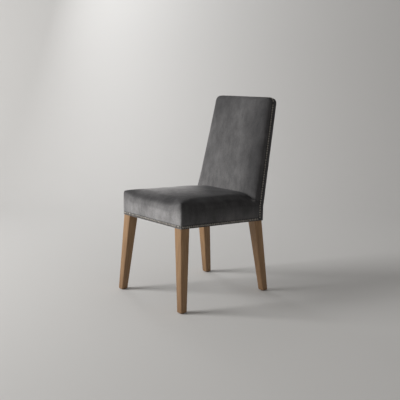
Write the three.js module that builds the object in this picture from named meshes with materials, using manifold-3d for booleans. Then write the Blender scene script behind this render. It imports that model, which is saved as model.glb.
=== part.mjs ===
// Upholstered dining chair with a velvet seat and back, nail trim and tapered oak legs.
// Millimetres. +Z is up, the front of the chair faces -Y, and +X is the right side seen from the front.
// The origin lies on the floor, under the middle of the whole chair.

import * as THREE from 'three';
import { mergeVertices } from 'three/addons/utils/BufferGeometryUtils.js';
import Module from 'manifold-3d';

const wasm = await Module();
wasm.setup();

// Clearances
const gap = 0.3;
const overrun = 6;

// Seat block, measured over the velvet
const seatFrontWidth = 474;
const seatRearWidth = 462;
const seatDepth = 536;
const seatEdgeFront = 394;
const seatEdgeRear = 370;
const seatThickFront = 121;
const seatThickRear = 129;
const seatCrown = 10;
const seatCornerRadius = 10;
const seatEdgeRadius = 32;

// Back, measured over the velvet and along its slope from the knee, which lies below the seat's top
const kneeDrop = 55.5;
const backLean = 11.23;
const backHeight = 540;
const backTopWidth = 409;
const backThickKnee = 65;
const backThickTop = 52;
const backCornerRadius = 28;
const backFrontRadius = 14;
const backRearRadius = 6;
const backCrown = 3;
const backSkirtSide = 14;
const backSkirtFront = 25;
const seamFromRear = 32;

// Cloth layers
const velvet = 2;
const waddingThick = 3.4;
const waddingHem = 4;
const hessianThick = 1;
const boardThick = 3.4;
const dustClothThick = 1;
const nailDraw = 1.5;
const nailBandHeight = 17;
const sideFullHeight = 34;

// Legs and posts
const glideHeight = 4;
const glideRadius = 12;
const glidePinRadius = 1.6;
const glidePinLength = 14;
const legTop = 50.5;
const legFoot = 33.5;
const frontSplaySide = 29;
const frontSplayFront = 20;
const postTop = 50;
const postFoot = 34;
const rearSplaySide = 14.8;
const rearSplayBack = 40;
const arris = 2.5;
const footArris = 4.5;
const footArrisHeight = 3;
const postShoulder = 60;
const postUpperDepth = 24;
const postUpperWidth = 34;
const postTenon = 20;

// Rails and corner blocks
const railThick = 25;
const railLow = 8;
const railHigh = 72;
const tenonThick = 12;
const tenonLength = 18;
const tenonShoulder = 12;
const topRailHeight = 42;
const lowRailFrom = 62;
const lowRailHeight = 40;
const lowRailThick = 20;
const lowRailTenon = 10;
const blockThick = 30;
const blockLow = 20;
const blockHigh = 60;

// Fasteners
const boltRadius = 4;
const boltDepth = 30;
const boltSpare = 6;
const washerRadius = 9;
const washerThick = 1.6;
const nutRadius = 7.5;
const nutThick = 6.5;
const screwRadius = 2;
const screwHeadRadius = 4;
const screwHeadThick = 3;
const screwLength = 28;
const screwBite = 14;

// Webbing
const strapWidth = 50;
const strapThick = 2;
const strapEndMargin = 8;
const seatStrapPitchX = 105;
const seatStrapPitchY = 120;
const strapRamp = 12;
const backStrapPitch = 85;
const backStrapEndMargin = 6;

// Nail trim
const nailPitch = 12;
const nailDome = 2.4;
const nailBand = 1;
const nailBandWidth = 9.5;
const nailLineHeight = 8.5;
const nailFromRear = 22;
const nailEndMargin = 7;

// How finely the round shapes are cut up
const cornerSteps = 3;
const sideSteps = 4;
const edgeSteps = 3;
const arcSteps = 6;
const boltSides = 12;
const screwSides = 8;
const glideSides = 16;
const insideCornerShare = 0.15;
const topRingShares = [0.3, 0.65];

const frameInset = velvet + gap + waddingThick + gap;
const lean = THREE.MathUtils.degToRad(backLean);
const halfDepth = seatDepth / 2;
const kneeHeight = seatEdgeRear + seatThickRear - kneeDrop;
const lerp = THREE.MathUtils.lerp;
const point = (x, y, z) => new THREE.Vector3(x, y, z);

const velvetGrey = new THREE.MeshStandardMaterial({ color: 0x5d5c60, roughness: 0.9, metalness: 0 });
const oak = new THREE.MeshStandardMaterial({ color: 0xa07f58, roughness: 0.55, metalness: 0 });
const beech = new THREE.MeshStandardMaterial({ color: 0xc9a57a, roughness: 0.7, metalness: 0 });
const foamWhite = new THREE.MeshStandardMaterial({ color: 0xe6dfc4, roughness: 0.95, metalness: 0 });
const waddingWhite = new THREE.MeshStandardMaterial({ color: 0xf0f0ee, roughness: 1, metalness: 0 });
const jute = new THREE.MeshStandardMaterial({ color: 0xa9865a, roughness: 0.95, metalness: 0 });
const blackCloth = new THREE.MeshStandardMaterial({ color: 0x1b1b1c, roughness: 0.95, metalness: 0 });
const board = new THREE.MeshStandardMaterial({ color: 0xa08c6c, roughness: 0.9, metalness: 0 });
const zincSteel = new THREE.MeshStandardMaterial({ color: 0xb7b9ba, roughness: 0.35, metalness: 1 });
const pewter = new THREE.MeshStandardMaterial({ color: 0x85817b, roughness: 0.4, metalness: 1 });
const blackNylon = new THREE.MeshStandardMaterial({ color: 0x2a2724, roughness: 0.6, metalness: 0 });

// Heights and widths of the seat block at a place along its depth
const alongSeat = (y) => (y + halfDepth) / seatDepth;
const edgeHeight = (y) => lerp(seatEdgeFront, seatEdgeRear, alongSeat(y));
const seatThick = (y) => lerp(seatThickFront, seatThickRear, alongSeat(y));
const halfWidth = (y) => lerp(seatFrontWidth, seatRearWidth, alongSeat(y)) / 2;

// Width and thickness of the back at a height along its slope
const backHalfWidth = (w) => lerp(seatRearWidth, backTopWidth, w / backHeight) / 2;
const backThick = (w) => lerp(backThickKnee, backThickTop, w / backHeight);

// The back's own frame: x across, n forward from its rear face, w up its slope
const backPoint = (x, n, w) => point(x, -n, w);
const backMatrix = new THREE.Matrix4().makeRotationX(-lean).setPosition(0, halfDepth, kneeHeight);
const backInverse = backMatrix.clone().invert();

// A geometry of stacked rings of equal count, closed by a fan at each end
function stack(rings) {
  const count = rings[0].length;
  const centre = (ring) => ring.reduce((sum, p) => sum.add(p), point(0, 0, 0)).divideScalar(count);
  const points = [...rings.flat(), centre(rings[0]), centre(rings[rings.length - 1])];
  const first = points.length - 2;
  const last = points.length - 1;
  const index = [];
  for (let r = 0; r + 1 < rings.length; r += 1) {
    for (let i = 0; i < count; i += 1) {
      const j = (i + 1) % count;
      index.push(r * count + i, r * count + j, (r + 1) * count + j);
      index.push(r * count + i, (r + 1) * count + j, (r + 1) * count + i);
    }
  }
  const top = (rings.length - 1) * count;
  for (let i = 0; i < count; i += 1) {
    const j = (i + 1) % count;
    index.push(first, j, i, last, top + i, top + j);
  }
  return outward(points, index);
}

// Turns the faces of a closed mesh outward
function outward(points, index) {
  let volume = 0;
  for (let t = 0; t < index.length; t += 3) {
    const [a, b, c] = [points[index[t]], points[index[t + 1]], points[index[t + 2]]];
    volume += a.dot(b.clone().cross(c));
  }
  const faces = volume < 0 ? index.slice().reverse() : index;
  const geometry = new THREE.BufferGeometry();
  geometry.setAttribute('position', new THREE.Float32BufferAttribute(points.flatMap((p) => p.toArray()), 3));
  geometry.setIndex(faces);
  return geometry;
}

// Between three.js geometries and solids that can be joined and cut
function solid(geometry) {
  const bare = geometry.clone();
  bare.deleteAttribute('normal');
  bare.deleteAttribute('uv');
  const merged = mergeVertices(bare);
  return new wasm.Manifold(new wasm.Mesh({
    numProp: 3,
    vertProperties: new Float32Array(merged.attributes.position.array),
    triVerts: new Uint32Array(merged.index.array),
  }));
}

function geometryOf(body) {
  const mesh = body.getMesh();
  const geometry = new THREE.BufferGeometry();
  geometry.setAttribute('position', new THREE.BufferAttribute(mesh.vertProperties, 3));
  geometry.setIndex(new THREE.BufferAttribute(mesh.triVerts, 1));
  return geometry;
}

const moved = (body, matrix) => body.transform(matrix.toArray());
const toChair = (body) => moved(body, backMatrix);
const toBack = (body) => moved(body, backInverse);
const joined = (bodies) => bodies.reduce((whole, body) => whole.add(body));
const cut = (body, tools) => tools.reduce((rest, tool) => rest.subtract(tool), body);

// A block between two low corners and two high corners, as four points of each end
const prism = (endA, endB) => solid(stack([endA, endB]));

// A straight box from its low corner to its high corner
function box(low, high) {
  const size = high.clone().sub(low);
  const middle = high.clone().add(low).divideScalar(2);
  const geometry = new THREE.BoxGeometry(Math.abs(size.x), Math.abs(size.y), Math.abs(size.z));
  return solid(geometry.translate(middle.x, middle.y, middle.z));
}

// A round bar along +Z from the origin
function bar(radius, length, sides) {
  const geometry = new THREE.CylinderGeometry(radius, radius, length, sides);
  return geometry.rotateX(Math.PI / 2).translate(0, 0, length / 2);
}

// The matrix that lays +Z along a direction and starts at a place
function placed(start, direction) {
  const turn = new THREE.Quaternion().setFromUnitVectors(point(0, 0, 1), direction.clone().normalize());
  return new THREE.Matrix4().compose(start, turn, point(1, 1, 1));
}

// An outline with four round corners and divided sides, from its half width at two ends
function roundedOutline(halfAt, low, high, radii, inset) {
  const corners = [[1, low, -1], [1, high, 1], [-1, high, 1], [-1, low, -1]];
  const arcs = corners.map(([side, end, way], k) => {
    const full = way < 0 ? radii[0] : radii[1];
    const radius = Math.max(full - inset, full * insideCornerShare);
    const cv = end - way * (inset + radius);
    const cu = side * (halfAt(cv) - inset - radius);
    const start = (k - 1) * Math.PI / 2;
    return Array.from({ length: cornerSteps + 1 }, (_, i) => {
      const angle = start + (i / cornerSteps) * Math.PI / 2;
      return [cu + radius * Math.cos(angle), cv + radius * Math.sin(angle)];
    });
  });
  const points = [];
  arcs.forEach((arc, k) => {
    points.push(...arc);
    const [u0, v0] = arc[arc.length - 1];
    const [u1, v1] = arcs[(k + 1) % arcs.length][0];
    for (let i = 1; i < sideSteps; i += 1) {
      points.push([lerp(u0, u1, i / sideSteps), lerp(v0, v1, i / sideSteps)]);
    }
  });
  return points;
}

// The seat's surface, a distance inside the velvet's outer face, as rings from its lower edge to its crown
function seatRings(inset, fromHeight, drawn) {
  const radii = [seatCornerRadius, seatCornerRadius];
  const outline = (more) => roundedOutline(halfWidth, -halfDepth, halfDepth, radii, inset + more);
  const ring = (more, height) => outline(more).map(([x, y]) => point(x, y, edgeHeight(y) + height(y)));
  const rings = [];
  const sides = [[fromHeight, drawn], [nailBandHeight, drawn], [sideFullHeight, 0]];
  sides.filter(([height], k) => k === 0 || height > fromHeight).forEach(([height, draw]) => {
    rings.push(ring(draw, () => height));
  });
  const round = seatEdgeRadius - inset;
  for (let i = 0; i <= edgeSteps; i += 1) {
    const angle = (i / edgeSteps) * Math.PI / 2;
    const rise = round * Math.sin(angle) - seatEdgeRadius;
    rings.push(ring(round * (1 - Math.cos(angle)), (y) => seatThick(y) + rise));
  }
  const rim = outline(round);
  topRingShares.forEach((share) => {
    const crown = seatCrown * share * (2 - share);
    rings.push(rim.map(([x, y]) => {
      const inner = [x * (1 - share), y * (1 - share)];
      return point(inner[0], inner[1], edgeHeight(inner[1]) + seatThick(inner[1]) - inset + crown);
    }));
  });
  return rings;
}

// The space under the seat's surface, drawn in along the nail line or straight-sided
const seatForm = (inset, fromHeight, drawn) => solid(stack(seatRings(inset, fromHeight, drawn)));

// A skin of the seat between two insets, open below
function seatSkin(outer, inner, fromHeight, innerDrawn) {
  return seatForm(outer, fromHeight, nailDraw).subtract(seatForm(inner, fromHeight - overrun, innerDrawn));
}

// The back's form in its own frame, as rings stacked forward from its rear face
function backRings(inset, fromRear, lowEdge, rearRound) {
  const radii = [seatCornerRadius, backCornerRadius];
  const frontAt = (w) => backThick(w) - inset;
  const ring = (more, depth, low) => {
    const outline = roundedOutline(backHalfWidth, low, backHeight, radii, inset + more);
    return outline.map(([x, w]) => backPoint(x, depth(w), w));
  };
  const rings = [];
  if (rearRound) {
    for (let i = 0; i < edgeSteps; i += 1) {
      const angle = (i / edgeSteps) * Math.PI / 2;
      const n = fromRear + rearRound * (1 - Math.cos(angle));
      rings.push(ring(rearRound * (1 - Math.sin(angle)), () => n, lowEdge(n)));
    }
  }
  const first = fromRear + rearRound;
  rings.push(ring(0, () => first, lowEdge(first)));
  if (first < seamFromRear) {
    rings.push(ring(0, () => seamFromRear, lowEdge(seamFromRear)));
  }
  const round = backFrontRadius - inset;
  for (let i = 0; i <= edgeSteps; i += 1) {
    const angle = (i / edgeSteps) * Math.PI / 2;
    const rise = round * Math.sin(angle) - round;
    rings.push(ring(round * (1 - Math.cos(angle)), (w) => frontAt(w) + rise, lowEdge(backThickKnee)));
  }
  const rim = rings[rings.length - 1];
  const middle = point(0, 0, (lowEdge(backThickKnee) + backHeight) / 2);
  topRingShares.forEach((share) => {
    rings.push(rim.map((p) => {
      const x = lerp(p.x, middle.x, share);
      const w = lerp(p.z, middle.z, share);
      return backPoint(x, frontAt(w) + backCrown * share * (2 - share), w);
    }));
  });
  return rings;
}

// The padding's lower end slopes from the seam down at the side up to the front face
function paddingLow(n) {
  const share = (n - seamFromRear) / (backThickKnee - seamFromRear);
  return lerp(backSkirtSide, backSkirtFront, THREE.MathUtils.clamp(share, 0, 1));
}

const paddingForm = (inset, fromRear, lower) => {
  return solid(stack(backRings(inset, fromRear, (n) => paddingLow(n) + lower, 0)));
};

// A flat slab of the back's outline between two depths, with its rear edge rounded
function backSlab(inset, fromRear, toFront, low, rearRound) {
  const radii = [backRearRadius, backCornerRadius];
  const ring = (more, n) => {
    const outline = roundedOutline(backHalfWidth, low, backHeight, radii, inset + more);
    return outline.map(([x, w]) => backPoint(x, n, w));
  };
  const rings = [];
  for (let i = 0; rearRound > 0 && i < edgeSteps; i += 1) {
    const angle = (i / edgeSteps) * Math.PI / 2;
    rings.push(ring(rearRound * (1 - Math.sin(angle)), fromRear + rearRound * (1 - Math.cos(angle))));
  }
  rings.push(ring(0, fromRear + rearRound), ring(0, toFront));
  return solid(stack(rings));
}

// The upright part of the outside back under the knee, closed round its two rear corners
function rearSkirt(inset, toFront, low, high) {
  const radius = backRearRadius - inset;
  const halfAt = (y) => halfWidth(y) - inset;
  const ring = (height) => {
    const points = [point(-halfAt(toFront), toFront, height(toFront))];
    points.push(point(halfAt(toFront), toFront, height(toFront)));
    for (const side of [1, -1]) {
      for (let i = 0; i <= edgeSteps; i += 1) {
        const turn = (side > 0 ? i : edgeSteps - i) / edgeSteps;
        const angle = turn * Math.PI / 2;
        const y = halfDepth - inset - radius + radius * Math.sin(angle);
        const x = side * (halfWidth(halfDepth) - inset - radius + radius * Math.cos(angle));
        points.push(point(x, y, height(y)));
      }
    }
    return points;
  };
  return solid(stack([ring(low), ring(high)]));
}

// The outside back's whole form in the chair's frame: an upright skirt, then the reclined slab
function outsideForm(inset, toFront, drop) {
  const slabLow = -backRearRadius;
  const slab = toChair(backSlab(inset, inset, toFront, slabLow - inset, backRearRadius - inset));
  const skirt = rearSkirt(inset, halfDepth - toFront, (y) => edgeHeight(y) - drop, () => kneeHeight);
  return slab.add(skirt);
}

// A level section of a timber with small flats along its edges
function timberSection(outer, inner, z, flat) {
  const [x0, x1] = [inner[0], outer[0]];
  const [y0, y1] = [inner[1], outer[1]];
  const sx = Math.sign(x1 - x0) * flat;
  const sy = Math.sign(y1 - y0) * flat;
  return [
    point(x0 + sx, y0, z), point(x1 - sx, y0, z), point(x1, y0 + sy, z), point(x1, y1 - sy, z),
    point(x1 - sx, y1, z), point(x0 + sx, y1, z), point(x0, y1 - sy, z), point(x0, y0 + sy, z),
  ];
}

// Front leg: square above the cover's lower edge, tapering and splaying below it
const frontCorner = [halfWidth(-halfDepth) - frameInset, -halfDepth + frameInset];
const frontJoin = edgeHeight(-halfDepth);

function frontLeg(side, grow) {
  const at = (z, flat) => {
    const share = Math.max(0, (frontJoin - z) / frontJoin);
    const size = lerp(legTop, legFoot, share);
    const x = frontCorner[0] + frontSplaySide * share;
    const y = frontCorner[1] - frontSplayFront * share;
    const outer = [side * (x + grow), y - grow];
    return timberSection(outer, [side * (x - size - grow), y + size + grow], z, flat);
  };
  const rings = [
    at(glideHeight, footArris), at(glideHeight + footArrisHeight, arris),
    at(frontJoin, arris), at(edgeHeight(frontCorner[1] + legTop) + railHigh, arris),
  ];
  return solid(stack(rings));
}

// Rear post: a raked leg, a knee at the seat and a reclined upright, in one timber
const rearCorner = [halfWidth(halfDepth) - frameInset, halfDepth - frameInset];
const rearJoin = edgeHeight(halfDepth);
const slopeOf = (z) => (z - kneeHeight) / Math.cos(lean);
const postTopSlope = backHeight - frameInset - topRailHeight;

function postSize(z) {
  const w = slopeOf(z);
  if (z <= rearJoin) {
    const size = lerp(postTop, postFoot, (rearJoin - z) / rearJoin);
    return [size, size];
  }
  const up = THREE.MathUtils.clamp(w / postTopSlope, 0, 1);
  const shoulder = THREE.MathUtils.clamp(w / postShoulder, 0, 1);
  return [lerp(postTop, postUpperWidth, up), lerp(postTop, postUpperDepth, shoulder)];
}

function postOuter(z) {
  if (z <= rearJoin) {
    const share = (rearJoin - z) / rearJoin;
    return [rearCorner[0] + rearSplaySide * share, rearCorner[1] + rearSplayBack * share];
  }
  const w = Math.max(0, slopeOf(z));
  const y = halfDepth + Math.max(0, z - kneeHeight) * Math.tan(lean) - frameInset / Math.cos(lean);
  return [backHalfWidth(w) - frameInset, z > kneeHeight ? y : rearCorner[1]];
}

const postInnerX = (z) => postOuter(z)[0] - postSize(z)[0];

function rearPostTimber(side, grow) {
  const heights = [
    glideHeight, glideHeight + footArrisHeight, rearJoin, kneeHeight,
    kneeHeight + postShoulder * Math.cos(lean), kneeHeight + (postTopSlope + overrun) * Math.cos(lean),
  ];
  const rings = heights.map((z, k) => {
    const [x, y] = postOuter(z);
    const [wide, deep] = postSize(z);
    const flat = k === 0 ? footArris : arris;
    return timberSection(
      [side * (x + grow), y + grow],
      [side * (x - wide - grow), y - (z > kneeHeight ? deep / Math.cos(lean) : deep) - grow], z, flat,
    );
  });
  return solid(stack(rings));
}

const beyond = backHeight * 2;
const abovePosts = (w) => toChair(box(backPoint(-beyond, beyond, w), backPoint(beyond, -beyond, w + beyond)));
const postMiddle = backHalfWidth(postTopSlope) - frameInset - postUpperWidth / 2;
const postTenonHalf = tenonThick / 2;
const frameBack = frameInset;
const frameFront = frameInset + postUpperDepth;

function postTenonBox(side, grow) {
  const n = (frameBack + frameFront) / 2;
  const low = backPoint(side * postMiddle - tenonThick - grow, n + postTenonHalf + grow, postTopSlope - overrun);
  const high = backPoint(side * postMiddle + tenonThick + grow, n - postTenonHalf - grow, postTopSlope + postTenon + grow);
  return box(low, high);
}

// Seat rails in the space between the legs; heights are above the cover's lower edge
const railTenonLow = railLow + tenonShoulder;
const railTenonHigh = railHigh - tenonShoulder;
const legInner = [frontCorner[0] - legTop, frontCorner[1] + legTop];
const postInner = [rearCorner[0] - postTop, rearCorner[1] - postTop];

// A bar across the chair at one depth, with its ends at plus and minus a half length
function crossBar(half, y0, y1, low, high) {
  const end = (x) => [
    point(x, y0, edgeHeight(y0) + low), point(x, y1, edgeHeight(y1) + low),
    point(x, y1, edgeHeight(y1) + high), point(x, y0, edgeHeight(y0) + high),
  ];
  return prism(end(-half), end(half));
}

// A bar along one side of the chair, from one depth to another, set in from the velvet
function sideBar(side, y0, y1, outerInset, thick, low, high) {
  const end = (y) => {
    const outer = side * (halfWidth(y) - outerInset);
    const inner = side * (halfWidth(y) - outerInset - thick);
    return [
      point(inner, y, edgeHeight(y) + low), point(outer, y, edgeHeight(y) + low),
      point(outer, y, edgeHeight(y) + high), point(inner, y, edgeHeight(y) + high),
    ];
  };
  return prism(end(y0), end(y1));
}

const tenonInset = (railThick - tenonThick) / 2;
const frontRailBack = frontCorner[1] + railThick;
const rearRailFront = rearCorner[1] - railThick;

const frontTenons = (grow) => crossBar(
  legInner[0] + tenonLength + grow, frontCorner[1] + tenonInset - grow, frontRailBack - tenonInset + grow,
  railTenonLow - grow, railTenonHigh + grow,
);
const rearTenons = (grow) => crossBar(
  postInner[0] + tenonLength + grow, rearRailFront + tenonInset - grow, rearCorner[1] - tenonInset + grow,
  railTenonLow - grow, railTenonHigh + grow,
);
const sideTenons = (side, grow) => sideBar(
  side, legInner[1] - tenonLength - grow, postInner[1] + tenonLength + grow,
  frameInset + tenonInset - grow, tenonThick + grow * 2, railTenonLow - grow, railTenonHigh + grow,
);

// Corner blocks cross the corner just inside each leg
function blockLines(front) {
  const inner = front ? legInner : postInner;
  const across = inner[0] + Math.abs(inner[1]);
  const endRail = Math.abs(front ? frontRailBack : rearRailFront) - gap;
  const outerLine = across - gap * Math.SQRT2;
  const innerLine = outerLine - blockThick * Math.SQRT2;
  return { inner, endRail, outerLine, innerLine };
}

function blockOutline(side, front) {
  const { endRail, outerLine, innerLine } = blockLines(front);
  const way = front ? -1 : 1;
  const railX = (y) => halfWidth(way * y) - frameInset - railThick - gap;
  const sideX = Math.min(railX(endRail), railX(innerLine - railX(endRail)));
  const corners = [
    [outerLine - endRail, endRail], [sideX, outerLine - sideX],
    [sideX, innerLine - sideX], [innerLine - endRail, endRail],
  ];
  return corners.map(([x, y]) => [side * x, way * y]);
}

function blockBody(side, front) {
  const ring = (h) => blockOutline(side, front).map(([x, y]) => point(x, y, edgeHeight(y) + h));
  return solid(stack([ring(blockLow), ring(blockHigh)]));
}

// The bolt's line: from the block's inner face into the leg's inner corner
const blockMiddle = (blockLow + blockHigh) / 2;

function boltStart(side) {
  const { inner } = blockLines(true);
  const back = (blockThick + gap) / Math.SQRT2;
  const y = inner[1] + back;
  return point(side * (inner[0] - back), y, edgeHeight(y) + blockMiddle);
}
const boltWay = (side) => point(side, -1, 0).normalize();
const boltHole = (side) => {
  const start = boltStart(side).addScaledVector(boltWay(side), -overrun);
  const length = overrun + blockThick + boltDepth + gap * 2;
  return moved(solid(bar(boltRadius + gap, length, boltSides)), placed(start, boltWay(side)));
};

// Block screws: one into the end rail and one into the side rail, each in a counterbore
function screwPlace(side, front, intoSide) {
  const outline = blockOutline(side, front);
  const way = front ? -1 : 1;
  const { endRail } = blockLines(front);
  const middle = (a, b) => (outline[a][0] + outline[b][0]) / 2;
  const middleY = (a, b) => (outline[a][1] + outline[b][1]) / 2;
  const under = screwLength - screwBite;
  if (intoSide) {
    const face = halfWidth(middleY(1, 2)) - frameInset - railThick;
    const y = middleY(1, 2);
    return { start: point(side * (face - under), y, edgeHeight(y) + blockMiddle), way: point(side, 0, 0) };
  }
  const y = way * (endRail + gap - under);
  return { start: point(middle(0, 3), y, edgeHeight(y) + blockMiddle), way: point(0, way, 0) };
}

// A screw along +Z: its head lies behind the origin and its shank ends in a point
function screwGeometry(grow) {
  const head = screwHeadRadius + grow;
  const shank = screwRadius + grow;
  const back = grow > 0 ? blockThick : screwHeadThick;
  const profile = [
    [0, -back], [head, -back], [head, 0], [shank, screwHeadThick / 2],
    [shank, screwLength - screwRadius * 2 + grow], [0, screwLength + grow],
  ].map(([r, z]) => new THREE.Vector2(r, z));
  return new THREE.LatheGeometry(profile, screwSides).rotateX(Math.PI / 2);
}

const sidesOfChair = [['left', -1], ['right', 1]];
const screws = [];
for (const front of [true, false]) {
  for (const [name, side] of sidesOfChair) {
    for (const intoSide of [false, true]) {
      const label = `${front ? 'front' : 'rear'}_${name}_block_screw_${intoSide ? 'side' : 'end'}`;
      screws.push({ label, front, side, ...screwPlace(side, front, intoSide) });
    }
  }
}
const screwHole = (screw) => moved(solid(screwGeometry(gap)), placed(screw.start, screw.way));
const screwHoles = (test) => screws.filter(test).map(screwHole);

// Glides: a disc under each foot with a pin up into the wood
const glidePlaces = {
  front: [
    frontCorner[0] + frontSplaySide - legFoot / 2, frontCorner[1] - frontSplayFront + legFoot / 2,
  ],
  rear: [
    rearCorner[0] + rearSplaySide - postFoot / 2, rearCorner[1] + rearSplayBack - postFoot / 2,
  ],
};
const glideRim = glideHeight / 4;

function glideGeometry(grow) {
  const disc = glideHeight - gap;
  const profile = [
    [0, 0], [glideRadius - glideRim, 0], [glideRadius, glideRim], [glideRadius, disc],
    [glidePinRadius + grow, disc], [glidePinRadius + grow, disc + glidePinLength + grow],
    [0, disc + glidePinLength + grow],
  ].map(([r, z]) => new THREE.Vector2(r, z));
  return new THREE.LatheGeometry(profile, glideSides).rotateX(Math.PI / 2);
}

function glideHole(side, place) {
  const [x, y] = glidePlaces[place];
  return solid(bar(glidePinRadius + gap, glideHeight + glidePinLength + gap, glideSides).translate(side * x, y, 0));
}

// Webbing straps of the seat, woven over and under each other on the rails
const deckLevel = railHigh + gap;
const strapStep = strapThick + gap;
const strapRows = [-1, 0, 1];

function strapStations(half, pitch, wide, overAt) {
  const stations = [[-half, 0]];
  for (const row of strapRows) {
    const level = overAt(row) ? strapStep : 0;
    stations.push([row * pitch - wide, level], [row * pitch + wide, level]);
  }
  stations.push([half, 0]);
  return stations;
}

function strap(stations, place) {
  const wide = strapWidth / 2;
  return stack(stations.map(([along, level]) => [
    place(-wide, along, level), place(wide, along, level),
    place(wide, along, level + strapThick), place(-wide, along, level + strapThick),
  ]));
}

function lengthwiseStrap(row) {
  const half = halfDepth - frameInset - strapEndMargin;
  const stations = strapStations(half, seatStrapPitchY, strapWidth / 2 + strapRamp / 2, (r) => (row + r) % 2 === 0);
  return strap(stations, (u, y, level) => {
    return point(row * seatStrapPitchX + u, y, edgeHeight(y) + deckLevel + level);
  });
}

function crosswiseStrap(row) {
  const y = row * seatStrapPitchY;
  const half = halfWidth(y + strapWidth) - frameInset - strapEndMargin;
  const stations = strapStations(half, seatStrapPitchX, strapWidth / 2 + strapRamp / 2, (r) => (row + r) % 2 !== 0);
  return strap(stations, (u, x, level) => {
    return point(x, y + u, edgeHeight(y + u) + deckLevel + level);
  });
}

// A sheet across the seat frame, notched at the corners that the legs pass
function seatSheet(inset, height, thick, notchFront) {
  const front = -halfDepth + inset;
  const rear = halfDepth - inset;
  const notchY = postInner[1] - gap;
  const notchX = postInner[0] - gap;
  const frontY = legInner[1] + gap;
  const frontX = legInner[0] - gap;
  const wide = (y) => halfWidth(y) - inset;
  const right = notchFront
    ? [[frontX, front], [frontX, frontY], [wide(frontY), frontY]]
    : [[wide(front), front]];
  right.push([wide(notchY), notchY], [notchX, notchY], [notchX, rear]);
  const outline = [...right, ...right.slice().reverse().map(([x, y]) => [-x, y])];
  const shape = new THREE.Shape(outline.map(([x, y]) => new THREE.Vector2(x, y)));
  const geometry = new THREE.ExtrudeGeometry(shape, { depth: thick, bevelEnabled: false });
  const places = geometry.attributes.position;
  for (let i = 0; i < places.count; i += 1) {
    places.setZ(i, places.getZ(i) + edgeHeight(places.getY(i)) + height);
  }
  return geometry;
}

// Nail trim: a thin band pressed into a row of faceted heads, along points with outward directions
function nailStrip(path, across) {
  const lengths = [0];
  path.slice(1).forEach((p, i) => lengths.push(lengths[i] + p.at.distanceTo(path[i].at)));
  const whole = lengths[lengths.length - 1];
  const count = Math.floor(whole / nailPitch);
  const along = (run) => {
    const i = THREE.MathUtils.clamp(lengths.findIndex((length) => length >= run), 1, path.length - 1);
    const share = (run - lengths[i - 1]) / (lengths[i] - lengths[i - 1]);
    const out = path[i - 1].out.clone().lerp(path[i].out, share).normalize();
    return { at: path[i - 1].at.clone().lerp(path[i].at, share), out };
  };
  const points = [];
  const index = [];
  const push = ({ at, out }, side, rise) => {
    points.push(at.clone().addScaledVector(across, side * nailBandWidth / 2).addScaledVector(out, rise));
  };
  for (let k = 0; k <= count; k += 1) {
    const edge = along(whole / 2 + (k - count / 2) * nailPitch);
    push(edge, -1, 0);
    push(edge, 1, 0);
    push(edge, 1, nailBand);
    push(edge, -1, nailBand);
  }
  for (let k = 0; k < count; k += 1) {
    const apex = points.length;
    push(along(whole / 2 + (k + 1 / 2 - count / 2) * nailPitch), 0, nailBand + nailDome);
    const a = k * 4;
    const b = a + 4;
    for (const i of [0, 1, 3]) {
      const j = (i + 1) % 4;
      index.push(a + i, a + j, b + j, a + i, b + j, b + i);
    }
    index.push(a + 2, a + 3, apex, a + 3, b + 3, apex, b + 3, b + 2, apex, b + 2, a + 2, apex);
  }
  const end = count * 4;
  index.push(0, 2, 1, 0, 3, 2, end, end + 1, end + 2, end, end + 2, end + 3);
  return outward(points, index);
}

const across = point(0, 0, 1);
const seatNail = (x, y, out) => ({ at: point(x, y, edgeHeight(y) + nailLineHeight).addScaledVector(out, gap), out });
const nailSideInset = nailDraw;
const nailRun = halfDepth - seamFromRear - nailEndMargin / 2;

function frontNails() {
  const half = halfWidth(-halfDepth) - nailEndMargin;
  const y = -halfDepth + nailSideInset;
  return nailStrip([seatNail(-half, y, point(0, -1, 0)), seatNail(half, y, point(0, -1, 0))], across);
}

function sideNails(side) {
  const out = point(side, 0, 0);
  const front = -halfDepth + nailEndMargin;
  const at = (y) => seatNail(side * (halfWidth(y) - nailSideInset), y, out);
  return nailStrip([at(front), at(nailRun)], across);
}

function rearNails() {
  const half = halfWidth(halfDepth) - nailEndMargin;
  return nailStrip([seatNail(-half, halfDepth, point(0, 1, 0)), seatNail(half, halfDepth, point(0, 1, 0))], across);
}

// Up one side of the back, in the chair's frame: upright to the knee, then along the slope
const cornerStart = backHeight - backCornerRadius;
const nailSagitta = nailPitch ** 2 / (8 * backCornerRadius);

function backSideNails(side) {
  const out = point(side, 0, 0);
  const onSlope = (w) => backPoint(side * backHalfWidth(w), nailFromRear, w).applyMatrix4(backMatrix);
  const knee = onSlope(0);
  knee.setX(side * Math.max(halfWidth(knee.y - nailBandWidth / 2), halfWidth(halfDepth)));
  const low = knee.clone().setZ(edgeHeight(knee.y) + nailLineHeight / 2);
  const path = [low, knee, onSlope(postShoulder), onSlope(cornerStart - nailEndMargin)];
  return nailStrip(path.map((at) => ({ at: at.addScaledVector(out, gap), out })), point(0, 1, 0));
}

// Over the back's two round corners and along its top, in the back's own frame
function backTopNails() {
  const path = [];
  for (const side of [1, -1]) {
    for (let i = 0; i <= arcSteps; i += 1) {
      const angle = ((side > 0 ? i : arcSteps - i) / arcSteps) * Math.PI / 2;
      const out = point(side * Math.cos(angle), 0, Math.sin(angle));
      const middle = backPoint(side * (backHalfWidth(cornerStart) - backCornerRadius), nailFromRear, cornerStart);
      path.push({ at: middle.addScaledVector(out, backCornerRadius + gap + nailSagitta), out });
    }
  }
  return nailStrip(path, point(0, 1, 0));
}

// Assembly
const chair = new THREE.Group();
const backGroup = new THREE.Group();
backGroup.position.set(0, halfDepth, kneeHeight);
backGroup.rotation.x = -lean;
chair.add(backGroup);

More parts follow.
